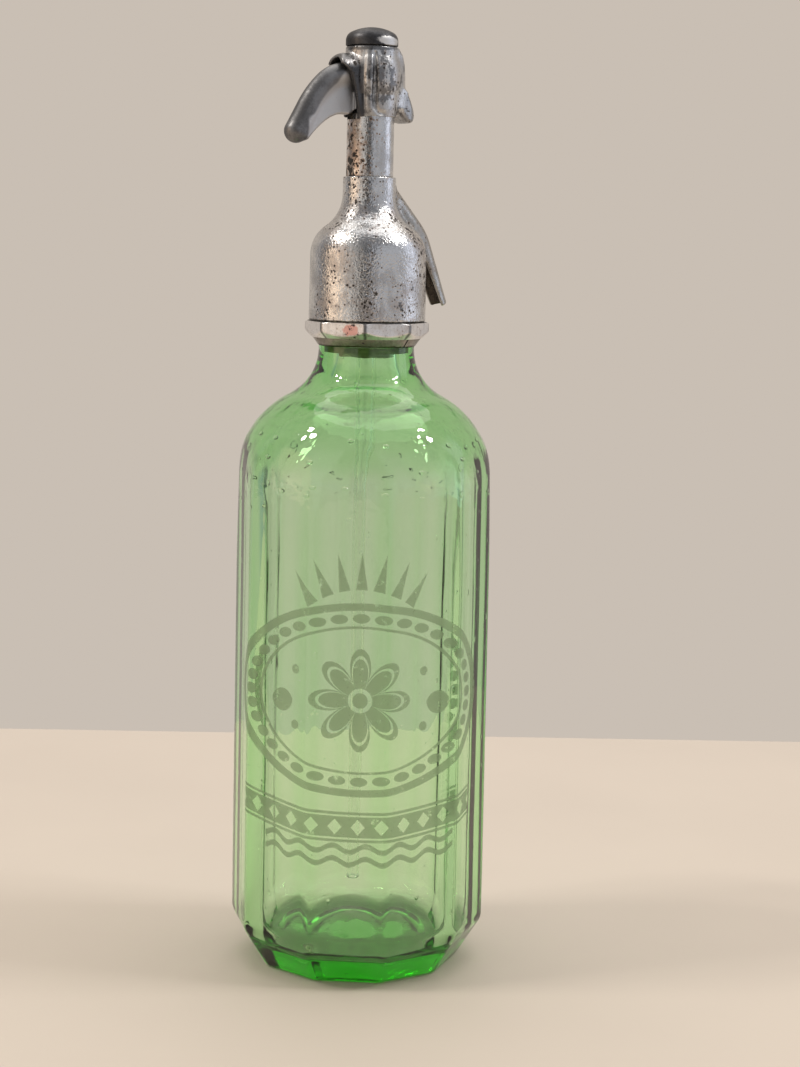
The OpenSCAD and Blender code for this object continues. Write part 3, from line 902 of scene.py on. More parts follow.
@dataclass(frozen=True)
class FloorPaint:
    """Plain pale matt floor."""

    name: str = "floor_paint"
    colour: Colour = (0.56, 0.50, 0.44)

    def build(self) -> Material:
        """Builds the material."""
        g = Graph.of_material(self.name)
        base = g.mix(g.noise(6, 4, 0.5).step(0.3, 0.7), self.colour, tuple(0.96 * c for c in self.colour))
        normal = g.bump(g.noise(400, 3, 0.5), 0.00003)
        return g.finish(g.shade(Base_Color=base, Roughness=0.6, Normal=normal))


class Finish(Enum):
    """The finishes of the siphon's pieces."""

    GLASS = BottleGlass()
    TUBE = PlainGlass("tube_glass")
    HEAD = PlatedMetal(
        "head_plating",
        gloss=0.15,
        pits=0.4,
        patches=0.16,
        pebble=1.35,
        # The spot is painted shade: a thin dark band round the bell's lower edge, where it meets the nut.
        spots=((-121, 225.7, 90, 0.5, (0.07, 0.065, 0.06)),),
    )
    NUT = PlatedMetal(
        "nut_plating",
        bright=(0.8, 0.79, 0.79),
        dull=(0.62, 0.6, 0.59),
        gloss=0.3,
        pits=0.12,
        pebble=0.5,
        tarnish=0.35,
        seed=3.1,
        # The copper patch is worn plating; the thin dark band round the nut's top edge, under the bell, is
        # painted shade.
        spots=((-137, 222.9, 2.9, 1.9, (0.68, 0.37, 0.33)), (-121, 225.6, 90, 0.35, (0.07, 0.065, 0.06))),
        # Painted shade along the nut's eight corners.
        corners=(12.5,),
    )
    STEM = PlatedMetal(
        "stem_plating", gloss=0.18, pits=0.4, patches=0.2, tarnish=0.7, lean=0.2, pebble=0.85, seed=6.3
    )
    HOUSING = PlatedMetal(
        "housing_plating",
        bright=(0.58, 0.58, 0.58),
        dull=(0.38, 0.38, 0.385),
        pits=0.34,
        patches=0.62,
        gloss=0.28,
        pebble=0.5,
        seed=9.4,
        # The spot is painted shade: a dark band round the front of the barrel's top, under the cap.
        spots=((-125, 317.4, 12, 1.2, (0.16, 0.16, 0.165)),),
        # inner is the painted shade that the housing's tone lays on its slot, hood and finger rest.
        inner=(0.075, 0.075, 0.08),
    )
    SPOUT = PlatedMetal(
        "spout_plating",
        bright=(0.40, 0.39, 0.37),
        dull=(0.27, 0.27, 0.255),
        # inner is painted shade inside the spout's bore.
        inner=(0.055, 0.045, 0.035),
        pits=0.25,
        gloss=0.24,
        seed=12.7,
    )
    COLLAR = PlatedMetal(
        "collar_plating",
        bright=(0.31, 0.29, 0.26),
        dull=(0.17, 0.165, 0.15),
        pits=0.2,
        gloss=0.3,
        pebble=0.6,
        seed=15.2,
        # Both spots are painted shade: a dark band round the collar's lower edge on the glass, and a dark
        # line in its split.
        spots=((-121, 217.0, 90, 0.7, (0.06, 0.05, 0.035)), (-72, 218.5, 0.45, 3.0, (0.03, 0.028, 0.025))),
    )
    # Painted light and shade on one metal: the rounded back dark as in shade, the web toned light where light
    # falls on it.
    LEVER = SmoothMetal(
        "lever_metal",
        (0.2, 0.2, 0.205),
        (0.12, 0.12, 0.125),
        0.46,
        0.12,
        depth=0.00003,
        toned=(0.50, 0.50, 0.51),
    )
    # The spot is a painted highlight: a pale streak on the dark cap's lower round edge, right of the front.
    CAP = SmoothMetal(
        "cap_metal", (0.085, 0.085, 0.09), (0.048, 0.048, 0.052), 0.46, 0.15, spots=(
            (-74, 319.7, 5.0, 1.5, (0.6, 0.59, 0.58)),
        )
    )
    BRASS = SmoothMetal("turned_brass", (0.72, 0.56, 0.28), (0.50, 0.37, 0.17), 0.3, 0.15, (0.3, 0.3, 3.0))
    # Brass darkened as painted shade, for the plunger head in the shadow under the lever.
    SHADED_BRASS = SmoothMetal("brass_painted_shade", (0.13, 0.11, 0.08), (0.06, 0.052, 0.04), 0.42, 0.15)
    STEEL = SmoothMetal("drawn_steel", (0.55, 0.55, 0.53), (0.36, 0.36, 0.35), 0.3, 0.15, (3.0, 3.0, 0.4))
    BUNG = Rubber("olive_rubber", (0.46, 0.43, 0.25), (0.24, 0.23, 0.12))
    SEAL = Rubber("dark_rubber", (0.06, 0.055, 0.05), (0.025, 0.023, 0.02))


_built: Dict[Finish, Material] = {}


def dress(obj: Piece, finish: Finish) -> None:
    """Gives an object one finish, built the first time that it is used.

    Args:
        obj: The piece.
        finish: Its finish.
    """
    if finish not in _built:
        _built[finish] = finish.value.build()
    obj.data.materials.clear()
    obj.data.materials.append(_built[finish])


def place(obj: Piece, nodes: Sequence[str], body: str, finish: Finish) -> Piece:
    """Dresses a new piece, ties it to its body, and lets it stand for its CAD nodes.

    Args:
        obj: The new piece.
        nodes: CAD nodes that it stands for.
        body: Moving body that it rides on.
        finish: Its finish.

    Returns:
        The same piece.
    """
    dress(obj, finish)
    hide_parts(*nodes)
    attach(obj, body)
    LOG.info("%s stands for %s on %s", obj.name, ", ".join(nodes), body)
    return obj


def set_tone(obj: Piece, tone_of: Field) -> None:
    """Writes the mesh's value "tone" from a function of (x, y, z) in millimetres.

    Args:
        obj: The piece.
        tone_of: Function that returns 0 to 1.
    """
    co = values(obj.data.vertices, "co", np.float32, 3)
    x, y, z = co.reshape(-1, 3).astype(float).T / MM
    tone = obj.data.attributes.new("tone", "FLOAT", "POINT")
    tone.data.foreach_set("value", np.clip(tone_of(x, y, z), 0, 1).astype(np.float32))


# ---------------------------------------------------------------- bottle


@dataclass
class Bottle:
    """Glass bottle: ten flat panels, bevelled heel, round shoulder, neck and bead, and a round bore."""

    panels: int = 10
    corner_r: float = 45.2
    taper: float = 0.0135
    flat_phase: float = 18.0
    heel_h: float = 14.5
    foot_apothem: float = 34.2
    foot_round: float = 2.0
    corner_round: float = 1.0
    neck_r: float = 16.5
    mouth_r: float = 9.5
    shoulder_z: float = 216.3
    shoulder_hollow: float = 18.2
    shoulder_round: float = 33.6
    shoulder_blend: float = 2.2
    round_r: float = 44.6
    bore_r: float = 38.8
    bore_hollow: float = 25.2
    bore_round: float = 27.4
    floor_z: float = 9.5
    front: float = -121.0
    wall_from: float = 36.0
    wall_dm: float = 0.44
    no_uv: float = 9.0
    columns: int = 360
    fall_steps: int = 26

    def ten_sided(self, apothem: Array) -> Array:
        """Radii of rows of the ten-sided wall for a column of distances from the axis to a flat."""
        return facet_radius(around(self.columns), self.panels, apothem, self.flat_phase, self.corner_round)

    def outer(self) -> Tuple[Array, Array]:
        """Outer rows from the hollow under the foot up to the mouth.

        A row's radius is the smooth least of the round shoulder and the ten-sided wall, which tapers
        a little towards the top. The heel's apothem is foot + (wall - foot) z / heel, and the foot's
        edge is a round of radius foot_round.

        Returns:
            Radii (rows, columns) and heights (rows, columns).
        """
        wall = self.corner_r * math.cos(math.pi / self.panels)
        slope = math.atan2(self.heel_h, wall - self.foot_apothem)
        c = self.foot_apothem - self.foot_round * (1 - math.cos(slope)) / math.sin(slope)
        punt = [[2, 2.5], [8, 2.45], [13, 2.3], [17, 2.0], [20.5, 1.4], [23.5, 0.6], [25.5, 0.12]]
        punt = np.array(punt + [[27, 0.0], [30, 0.0]])
        edge = arc((c, self.foot_round), self.foot_round, -90, -90 + math.degrees(slope), 6)
        below = stretches((edge[-1, 1] + 0.8, 12.4, 9), (12.8, 16.2, 9), (17.5, 150, 26), (153, 166, 6))
        arcs = (self.shoulder_hollow, self.shoulder_round, self.fall_steps)
        fall = s_fall(self.neck_r, self.round_r, self.shoulder_z, *arcs)[::-1]
        flat = [self.ten_sided(np.full((1, 1), r)) for r in punt[-2:, 0]]
        turning = np.concatenate([(1 - m) * p[0] + m * f for m, p, f in zip((0.35, 1.0), punt[-2:], flat)])
        z = np.concatenate([below, fall[:, 1]])
        heel = self.foot_apothem + (wall - self.foot_apothem) * z / self.heel_h
        taper = 1 - self.taper * ramp(z - 35, 135)
        apothem = smooth_min(heel, wall * taper, 1.0)
        shoulder = np.concatenate([self.round_r + 1.6 * ramp(fall[0, 1] - below, 30), fall[:, 0]])
        ten = self.ten_sided(apothem[:, None])
        neck = [[self.neck_r, 217], [14.0, 217.2], [14.0, 227.8], [16.2, 229.4], [16.2, 237]]
        neck = softened(neck + [[self.mouth_r, 237], [self.mouth_r, 230]], 1.2, 4, False)[:-1]
        rows = [
            np.repeat(punt[:-2, :1], self.columns, 1),
            turning,
            self.ten_sided(edge[:, :1]),
            smooth_min(ten, shoulder[:, None], self.shoulder_blend),
            np.repeat(neck[:, :1], self.columns, 1),
        ]
        heights = np.concatenate([punt[:, 1], edge[:, 1], z, neck[:, 1]])
        return np.concatenate(rows), np.repeat(heights[:, None], self.columns, 1)

    def inner(self) -> Tuple[Array, Array]:
        """Bore rows from the mouth down to the middle of the floor, slightly uneven as blown glass is.

        Returns:
            Radii and heights, each (rows, columns).
        """
        t = around(self.columns)
        arcs = (self.bore_hollow, self.bore_round, self.fall_steps)
        fall = s_fall(self.mouth_r, self.bore_r, self.shoulder_z, *arcs)
        wall_z = np.linspace(fall[-1, 1] - 6, self.floor_z + 9, 24)
        corner = arc((self.bore_r - 8, self.floor_z + 8), 8, 0, -90, 10)
        floor = np.array([[24, 9.7], [17, 10.2], [10, 11.2], [3, 12.1]])
        wall = np.stack([np.full_like(wall_z, self.bore_r), wall_z], -1)
        p = np.concatenate([[[self.mouth_r, 228], [self.mouth_r, 218]], fall, wall, corner, floor])
        r, z = p[:, :1], p[:, 1:]
        depth = ramp(215 - z, 40) * ramp(z - 12, 14)
        radius = r + 0.22 * depth * ripple(t, z / 26.0, 0.9) - 0.5 * np.exp(-(((z - 204.5) / 2.2) ** 2))
        return radius, z + 0.25 * ramp(26 - z, 10) * ripple(t, r / 9.0, 2.2)

    def build(self) -> Piece:
        """Builds the bottle with a UV map of its wall, unrolled from the front, in decimetres.

        A face keeps to one side of the map's seam, and all other faces lie at no_uv, off the ornament.

        Returns:
            The bottle.
        """
        ro, zo = self.outer()
        ri, zi = self.inner()
        obj = turned("bottle_glass", np.concatenate([ro, ri]), np.concatenate([zo, zi]), True, 80.0)
        mesh = obj.data
        uv = mesh.uv_layers.new(name="wall")
        index = values(mesh.loops, "vertex_index", np.int32)
        x, y, z = values(mesh.vertices, "co", np.float32, 3).reshape(-1, 3)[index].T / MM
        front = math.radians(self.front)
        circle = 2 * math.pi
        turn = (np.arctan2(y, x) - front + math.pi) % circle - math.pi
        starts = values(mesh.polygons, "loop_start", np.int32)
        first = np.repeat(turn[starts], np.diff(np.append(starts, len(index))))
        turn = turn + circle * np.round((first - turn) / circle)
        wall = (index < ro.size) & (np.hypot(x, y) > self.wall_from)
        uvs = np.stack([np.where(wall, part, self.no_uv) for part in (turn * self.wall_dm, z * 0.01)], -1)
        uv.data.foreach_set("uv", uvs.astype(np.float32).ravel())
        return place(obj, ["bottle"], "siphon", Finish.GLASS)


@dataclass
class DipTube:
    """Glass tube that reaches down the bottle, with softly melted ends."""

    outer_r: float = 3.5
    inner_r: float = 2.3
    low: float = 27.5
    high: float = 246.0

    def build(self) -> Piece:
        """Builds the tube as a revolved ring with round ends.

        Returns:
            The tube.
        """
        m, w = 0.5 * (self.outer_r + self.inner_r), 0.5 * (self.outer_r - self.inner_r)
        low = arc((m, self.low + w), w, 180, 360, 8)
        high = arc((m, self.high - w), w, 0, 180, 8)
        wall = np.linspace(self.low + 4, self.high - 4, 12)
        rise = np.stack([np.full_like(wall, self.outer_r), wall], -1)
        fall = np.stack([np.full_like(wall, self.inner_r), wall[::-1]], -1)
        obj = lathe("dip_tube_glass", np.concatenate([low, rise, high, fall]), 64, False, 80.0)
        return place(obj, ["dip_tube"], "siphon", Finish.TUBE)


@dataclass
class Bung:
    """Rubber bung, squeezed against the neck so that the glass shows it without an air film."""

    radius: float = 9.58
    tube_r: float = 3.5
    low: float = 213.0
    high: float = 229.9

    def build(self) -> Piece:
        """Builds the bung: a revolved section whose lower edge is uneven by up to 0.4 mm.

        Returns:
            The bung.
        """
        low, high = self.low, self.high
        loop = [[self.tube_r, low + 0.3], [self.radius, low], [self.radius, high], [self.tube_r, high]]
        p = softened(loop, 1.0, 5)
        r, z = p[:, :1], p[:, 1:]
        t = around(128)
        height = z + 0.35 * ramp(low + 4 - z, 4) * ripple(3 * t, r, 1.3)
        obj = turned("tube_bung_rubber", np.repeat(r, t.size, 1), height, False, 40.0)
        return place(obj, ["tube_bung"], "siphon", Finish.BUNG)


# ---------------------------------------------------------------- collar, nut and head


@dataclass
class Collar:
    """Split collar in two halves, and the octagonal nut that holds them."""

    low: float = 217.1
    mean_r: float = 16.0
    end_points: Tuple[int, int] = (16, 30)
    nut_z: float = 219.9
    nut_h: float = 5.6
    nut_corner: float = 21.5
    low_bevel: Tuple[float, float] = (2.6, 0.9615)
    high_bevel: Tuple[float, float] = (1.1, 0.5455)
    nut_phase: float = 35.0
    nut_bore: float = 18.05
    split: float = -72.0
    gap: float = 0.3
    half_steps: int = 96

    def half(self, name: str, turn: float) -> Piece:
        """One half ring: its section carried round half a turn less the gap, closed at both ends.

        Each end is a fan from a point inside the section, near the middle of its two end_points.

        Args:
            name: CAD node that it stands for.
            turn: Angle of the half from the split line.

        Returns:
            The half.
        """
        outline = [
            [14.2, self.low], [16.7, self.low], [18.7, self.nut_z], [18.0, self.nut_z],
            [18.0, 238.0], [16.45, 238.0], [16.45, 229.4], [14.2, 227.7],
        ]
        section = softened(outline, 0.35, 3)
        rows, n = self.half_steps + 1, len(section)
        lack = math.degrees(self.gap / 2 / self.mean_r)
        start = self.split + 180 + turn
        t = np.radians(np.linspace(start + lack, start + 180 - lack, rows))[:, None]
        r, z = section[:, 0][None, :], section[:, 1][None, :]
        rings = np.stack([r * np.cos(t), r * np.sin(t), np.broadcast_to(z, (rows, n))], -1)
        faces = rings[[0, -1]]
        middles = 0.5 * (faces[:, self.end_points].mean(1) + faces.mean(1))
        verts = np.concatenate([rings.reshape(-1, 3), middles])
        quads, ends = grid_quads(rows, n, False, True), end_fans(rows, n)[:, [1, 0, 2]]
        obj = write_mesh(name + "_ring", verts, quads, ends, 40.0)
        return place(obj, [name], "siphon", Finish.COLLAR)

    def nut(self) -> Piece:
        """Octagonal nut: radius is the smooth least of the octagon and its two bevel cones.

        A bevel is how far its cone starts inside the corner, and the cone's rise for each mm outwards.

        Returns:
            The nut.
        """
        t = around(384)
        z0, z1 = self.nut_z, self.nut_z + self.nut_h
        z = stretches((z0, z0 + 3, 14), (z0 + 3.2, z1 - 1.3, 4), (z1 - 1.1, z1, 10))[:, None]
        flat = self.nut_corner * math.cos(math.pi / 8)
        eight = facet_radius(t, 8, np.full_like(z, flat), self.nut_phase, 0.5)
        low_cone = self.nut_corner - self.low_bevel[0] + (z - z0) / self.low_bevel[1]
        high_cone = self.nut_corner - self.high_bevel[0] + (z1 - z) / self.high_bevel[1]
        side = smooth_min(smooth_min(eight, low_cone + 0 * t, 0.35), high_cone + 0 * t, 0.3)
        level = np.ones_like(t)
        bore = self.nut_bore * level
        rows = [bore, 18.5 * level, side, side[-1:] - 0.25, 18.6 * level, bore]
        heights = np.concatenate([[z0 + 0.3, z0], z[:, 0], [z1, z1, z1 - 0.4]])
        obj = turned("collar_nut_octagon", np.concatenate(rows), heights, False, 35.0)
        return place(obj, ["collar_nut"], "siphon", Finish.NUT)

    def build(self) -> List[Piece]:
        """Builds the two halves and the nut.

        Returns:
            The pieces.
        """
        return [self.half("collar_half_front", 0.0), self.half("collar_half_rear", 180.0), self.nut()]


@dataclass
class HeadBody:
    """Bell and lower stem in one casting, with the spout brazed to it and the upper stem above."""

    bell_z: float = 225.75
    bell_r: float = 20.1
    shoulder_r: float = 19.9
    stem_r: float = 9.1
    joint_z: float = 274.5
    fall_z: float = 268.7
    hollow: float = 13.3
    round_arc: float = 12.0
    uneven: float = 0.05
    notch_half: float = 4.1
    notch_x: float = -3.2
    notch_z: float = 293.7

    def outline(self, n: int = 20) -> Array:
        """Outer profile from the joint line down to the bell's lower edge, in n steps to each arc."""
        r, z = self.stem_r, self.joint_z
        top = softened([[r - 2.0, z], [r, z], [r, self.fall_z + 1]], 0.5, 4, False)
        fall = s_fall(self.stem_r, self.shoulder_r, self.fall_z, self.hollow, self.round_arc, n)
        rim = softened(
            [[19.92, 245], [self.bell_r, 228], [self.bell_r, self.bell_z], [18.6, self.bell_z]], 0.5, 4, False
        )
        return np.concatenate([top[:-1], fall, rim])

    def bell(self) -> Piece:
        """Bell: the outer profile, then the thread bore, the socket and the valve chamber inside.

        Returns:
            The casting.
        """
        outside = self.outline()
        inside = [
            [18.15, 226.1], [18.15, 239.9], [5.65, 239.9], [5.65, 256.5],
            [6.2, 256.5], [6.2, 270.5], [7.0, 270.5], [7.0, 274.4],
        ]
        p = np.concatenate([outside, inside])
        t = around(192)
        depth = np.where(np.arange(len(p)) < len(outside), self.uneven, 0.0)[:, None]
        radius = np.repeat(p[:, :1], t.size, 1) + depth * ripple(2 * t, p[:, 1:] / 5.0, 0.4)
        obj = turned("head_bell", radius, p[:, 1], False, 35.0)
        return place(obj, ["head_body"], "siphon", Finish.HEAD)

    def upper_stem(self) -> Piece:
        """Upper stem tube with its spigot, bores and the notch for the lever at its top.

        Returns:
            The tube.
        """
        ring = [
            [2.06, 283], [2.06, 281], [4.6, 281], [4.6, 270.55], [6.95, 270.55], [6.95, 274.55],
            [8.05, 274.55], [8.05, 294.2], [8.05, 296.2], [3.66, 296.2], [3.66, 283],
        ]
        ring = softened(ring, 0.3, 3)

        def solid(x: Array, y: Array, z: Array) -> Array:
            """Distance to the revolved section, less the notch."""
            d = polygon_distance(np.hypot(x, y), z, ring)
            notch = np.maximum(np.maximum(np.abs(y) - self.notch_half, x - self.notch_x), self.notch_z - z)
            return smooth_max(d, -notch, 0.2)

        obj = implicit("stem_tube_upper", solid, (-8.1, -8.1, 270.5), (8.1, 8.1, 296.3), 0.34, 40.0)
        return place(obj, ["stem_tube"], "siphon", Finish.STEM)

    def build(self) -> List[Piece]:
        """Builds the casting and the tube.

        Returns:
            The pieces.
        """
        return [self.bell(), self.upper_stem()]


@dataclass
class Spout:
    """Spout tube on the bell's shoulder: a slanting root, a bend and a mouth cut open lengthwise."""

    radius: float = 4.3
    bore: float = 3.05
    fillet: float = 1.8
    root: Tuple[float, float] = (7.2, 267.8)
    root_slope: float = 49.0
    end_slope: float = 70.0
    bend_r: float = 20.0
    root_h: float = 10.9
    end_len: float = 21.5
    cut: Tuple[float, float] = (21.3, 246.0)
    cut_slope: float = 65.0

    def path_distance(self, x: Array, y: Array, z: Array) -> Tuple[Array, Array]:
        """Distance from the centre line, a straight, an arc and a straight, and the length along it.

        Args:
            x, y, z: Coordinates in millimetres.

        Returns:
            Distance, and length past the end of the bend (negative before it).
        """
        a, b = math.radians(self.root_slope), math.radians(self.end_slope)
        root = np.array(self.root)
        d0, d1 = np.array([math.cos(a), -math.sin(a)]), np.array([math.cos(b), -math.sin(b)])
        start = root + self.root_h / math.sin(a) * d0
        c = start - self.bend_r * np.array([math.sin(a), math.cos(a)])
        end = c + self.bend_r * np.array([math.sin(b), math.cos(b)])
        s0 = (x - start[0]) * d0[0] + (z - start[1]) * d0[1]
        s1 = (x - end[0]) * d1[0] + (z - end[1]) * d1[1]
        q0 = (x - start[0]) * d0[1] - (z - start[1]) * d0[0]
        q1 = (x - end[0]) * d1[1] - (z - end[1]) * d1[0]
        arc_d = np.hypot(x - c[0], z - c[1]) - self.bend_r
        side = np.where(s0 < 0, np.abs(q0), np.where(s1 > 0, np.abs(q1), np.abs(arc_d)))
        return np.hypot(side, y), s1

    def build(self, head: HeadBody) -> Piece:
        """Builds the spout: tube and brazed fillet outside the bell, less the bore and the mouth's cut.

        Args:
            head: The casting that it sits on.

        Returns:
            The spout.
        """
        bell = np.concatenate([[[0, head.joint_z]], head.outline(14), [[0, head.bell_z]]])
        k = math.radians(self.cut_slope)
        along = np.array([math.cos(k), -math.sin(k)])
        out = np.array([math.sin(k), math.cos(k)])

        def solid(x: Array, y: Array, z: Array) -> Array:
            """Distance function of the finished spout."""
            line, s = self.path_distance(x, y, z)
            casting = polygon_distance(np.hypot(x, y), z, bell)
            tube = line - self.radius
            body = smooth_min(tube, casting, self.fillet)
            body = smooth_max(body, s - self.end_len, 0.8)
            px, pz = x - self.cut[0], z - self.cut[1]
            opened = np.maximum(px * out[0] + pz * out[1], -(px * along[0] + pz * along[1]))
            body = smooth_max(body, -opened, 0.4)
            body = smooth_max(body, -(line - self.bore), 0.35)
            return np.maximum(body, -(casting - 0.03))

        obj = implicit("spout_tube", solid, (7.0, -5.4, 228.5), (32.0, 5.4, 272.0), 0.27, 45.0)
        # Painted shade on the bore's wall and round its edge, laid on as tone.
        set_tone(obj, lambda x, y, z: (self.bore + 0.45 - self.path_distance(x, y, z)[0]) / 0.3)
        return place(obj, ["spout"], "siphon", Finish.SPOUT)


# ---------------------------------------------------------------- lever housing, lever and cap


@dataclass
class LeverHousing:
    """Housing of the lever: barrel, swollen back with the finger rest, slot rim and hood."""

    low: float = 294.6
    high: float = 318.0
    slot_half: float = 4.1
    slot_low: float = 293.7
    slot_x: float = -5.6
    deep_x: float = -3.2
    deep_z: float = 301.8
    arch_z: float = 309.7
    rim_half: float = 5.7
    groove_pitch: float = 0.16

    def from_slot(self, y: Array, z: Array) -> Array:
        """Distance from the slot's middle line, which ends in an arch."""
        return np.where(z > self.arch_z, np.hypot(y, z - self.arch_z), np.abs(y))

    def solid(self, x: Array, y: Array, z: Array) -> Array:
        """Distance function of the housing.

        Args:
            x, y, z: Coordinates in millimetres.

        Returns:
            Signed distance, negative in the metal.
        """
        r = np.hypot(x, y)
        foot, top = [[0, self.low], [8.6, self.low], [9.0, 297]], [[0, self.high]]
        wall = np.concatenate(
            [foot, arc((-9.8, 308), 20, -18, 20, 8), arc((8.1, 317.2), 0.8, 15, 90, 4), top]
        )
        barrel = polygon_distance(r, z, wall)
        back = [
            [0, 317.2], [7.6, 317.2], [9.6, 315.8], [11, 313], [12, 309.6], [12.4, 305.8],
            [12.6, 302.6], [14.4, 299.6], [16, 297.2], [16.6, 295.6], [16.2, 294.2], [15, 293.3],
            [13.4, 293], [11.8, 293.3], [10.2, 294.7], [9, 296.6], [6, 298], [0, 298],
        ]
        side = polygon_distance(x, z, back)
        upper = np.hypot(x - 6.6, y) - 6.0
        lower = np.maximum(np.hypot(x - 12.0, y) - 4.6, z - 303)
        swell = smooth_max(side, smooth_min(upper, lower, 3.0), 1.6)
        body = smooth_min(barrel, swell, 1.6)
        hood = [
            [-14.2, 311.7], [-14, 313.4], [-13.2, 314.8], [-11.6, 316], [-9.6, 317],
            [-6, 317.6], [-4, 317.6], [-4, self.low], [-7.4, self.low], [-8.5, 299],
            [-9.6, 304.5], [-10.5, 307.6], [-11.8, 309.6], [-13.1, 310.8],
        ]
        arch = self.from_slot(y, z)
        rim = smooth_max(arch - self.rim_half, polygon_distance(x, z, hood), 0.8)
        body = smooth_min(body, rim, 1.0)
        turn = np.degrees(np.arctan2(-np.abs(y), x))
        body = body - 0.5 * (np.exp(-(((turn + 125.5) / 7.5) ** 4)) * ramp(z - 295.2, 2) * ramp(317 - z, 3))
        best = np.full(x.shape, 1e9)
        line = ((-113.5, 315.5), (-113.5, 300.5), (-110.5, 297.3), (-104, 295.9), (-92, 295.4))
        for (a0, z0), (a1, z1) in zip(line, line[1:]):
            du, dz = (a1 - a0) * self.groove_pitch, z1 - z0
            u, v = (turn - a0) * self.groove_pitch, z - z0
            k = np.clip((u * du + v * dz) / (du * du + dz * dz), 0, 1)
            best = np.minimum(best, np.hypot(u - k * du, v - k * dz))
        width = 0.55 + 0.45 * ramp(312 - z, 12)
        groove = np.maximum(np.hypot(best, np.maximum(9.35 - r, 0)) - width, 7.5 - r)
        body = smooth_max(body, -groove, 0.5)
        slot = np.maximum(arch - self.slot_half, np.maximum(x - self.slot_x, self.slot_low - z))
        deep = np.maximum(np.abs(y) - self.slot_half, x - self.deep_x)
        deep = np.maximum(deep, np.maximum(self.slot_low - z, z - self.deep_z))
        body = smooth_max(body, -np.minimum(slot, deep), 0.45)
        bores = ((3.66, z - 306), (4.6, 305.9 - z), (6.05, 311 - z), (8.07, z - 296.25))
        return np.maximum(body, -np.min([np.maximum(r - bore, beyond) for bore, beyond in bores], 0))

    def build(self) -> Piece:
        """Builds the housing.

        Returns:
            The housing.
        """
        obj = implicit(
            "lever_housing_cast", self.solid, (-16.6, -10.4, 292.8), (18.3, 10.4, 318.2), 0.27, 45.0
        )

        def dark(x: Array, y: Array, z: Array) -> Array:
            """Painted shade on the slot frame and the slot walls, and lighter painted shade on the hood and
            the finger rest.
            """
            turn = np.degrees(np.arctan2(-np.abs(y), x))
            slot_frame = ramp(-132.5 - turn, 4) * ramp(313.5 - z, 3)
            walls = ramp(self.slot_half + 0.5 - self.from_slot(y, z), 0.3) * ramp(-2.4 - x, 0.5)
            hood = 0.66 * ramp(-8.2 - x, 2) * ramp(z - 308, 2)
            rest = 0.45 * ramp(x - 9.2, 2) * ramp(304 - z, 3)
            return np.max([slot_frame, walls, hood, rest], 0)

        # The housing's tone is painted shade.
        set_tone(obj, dark)
        return place(obj, ["lever_housing"], "siphon", Finish.HOUSING)


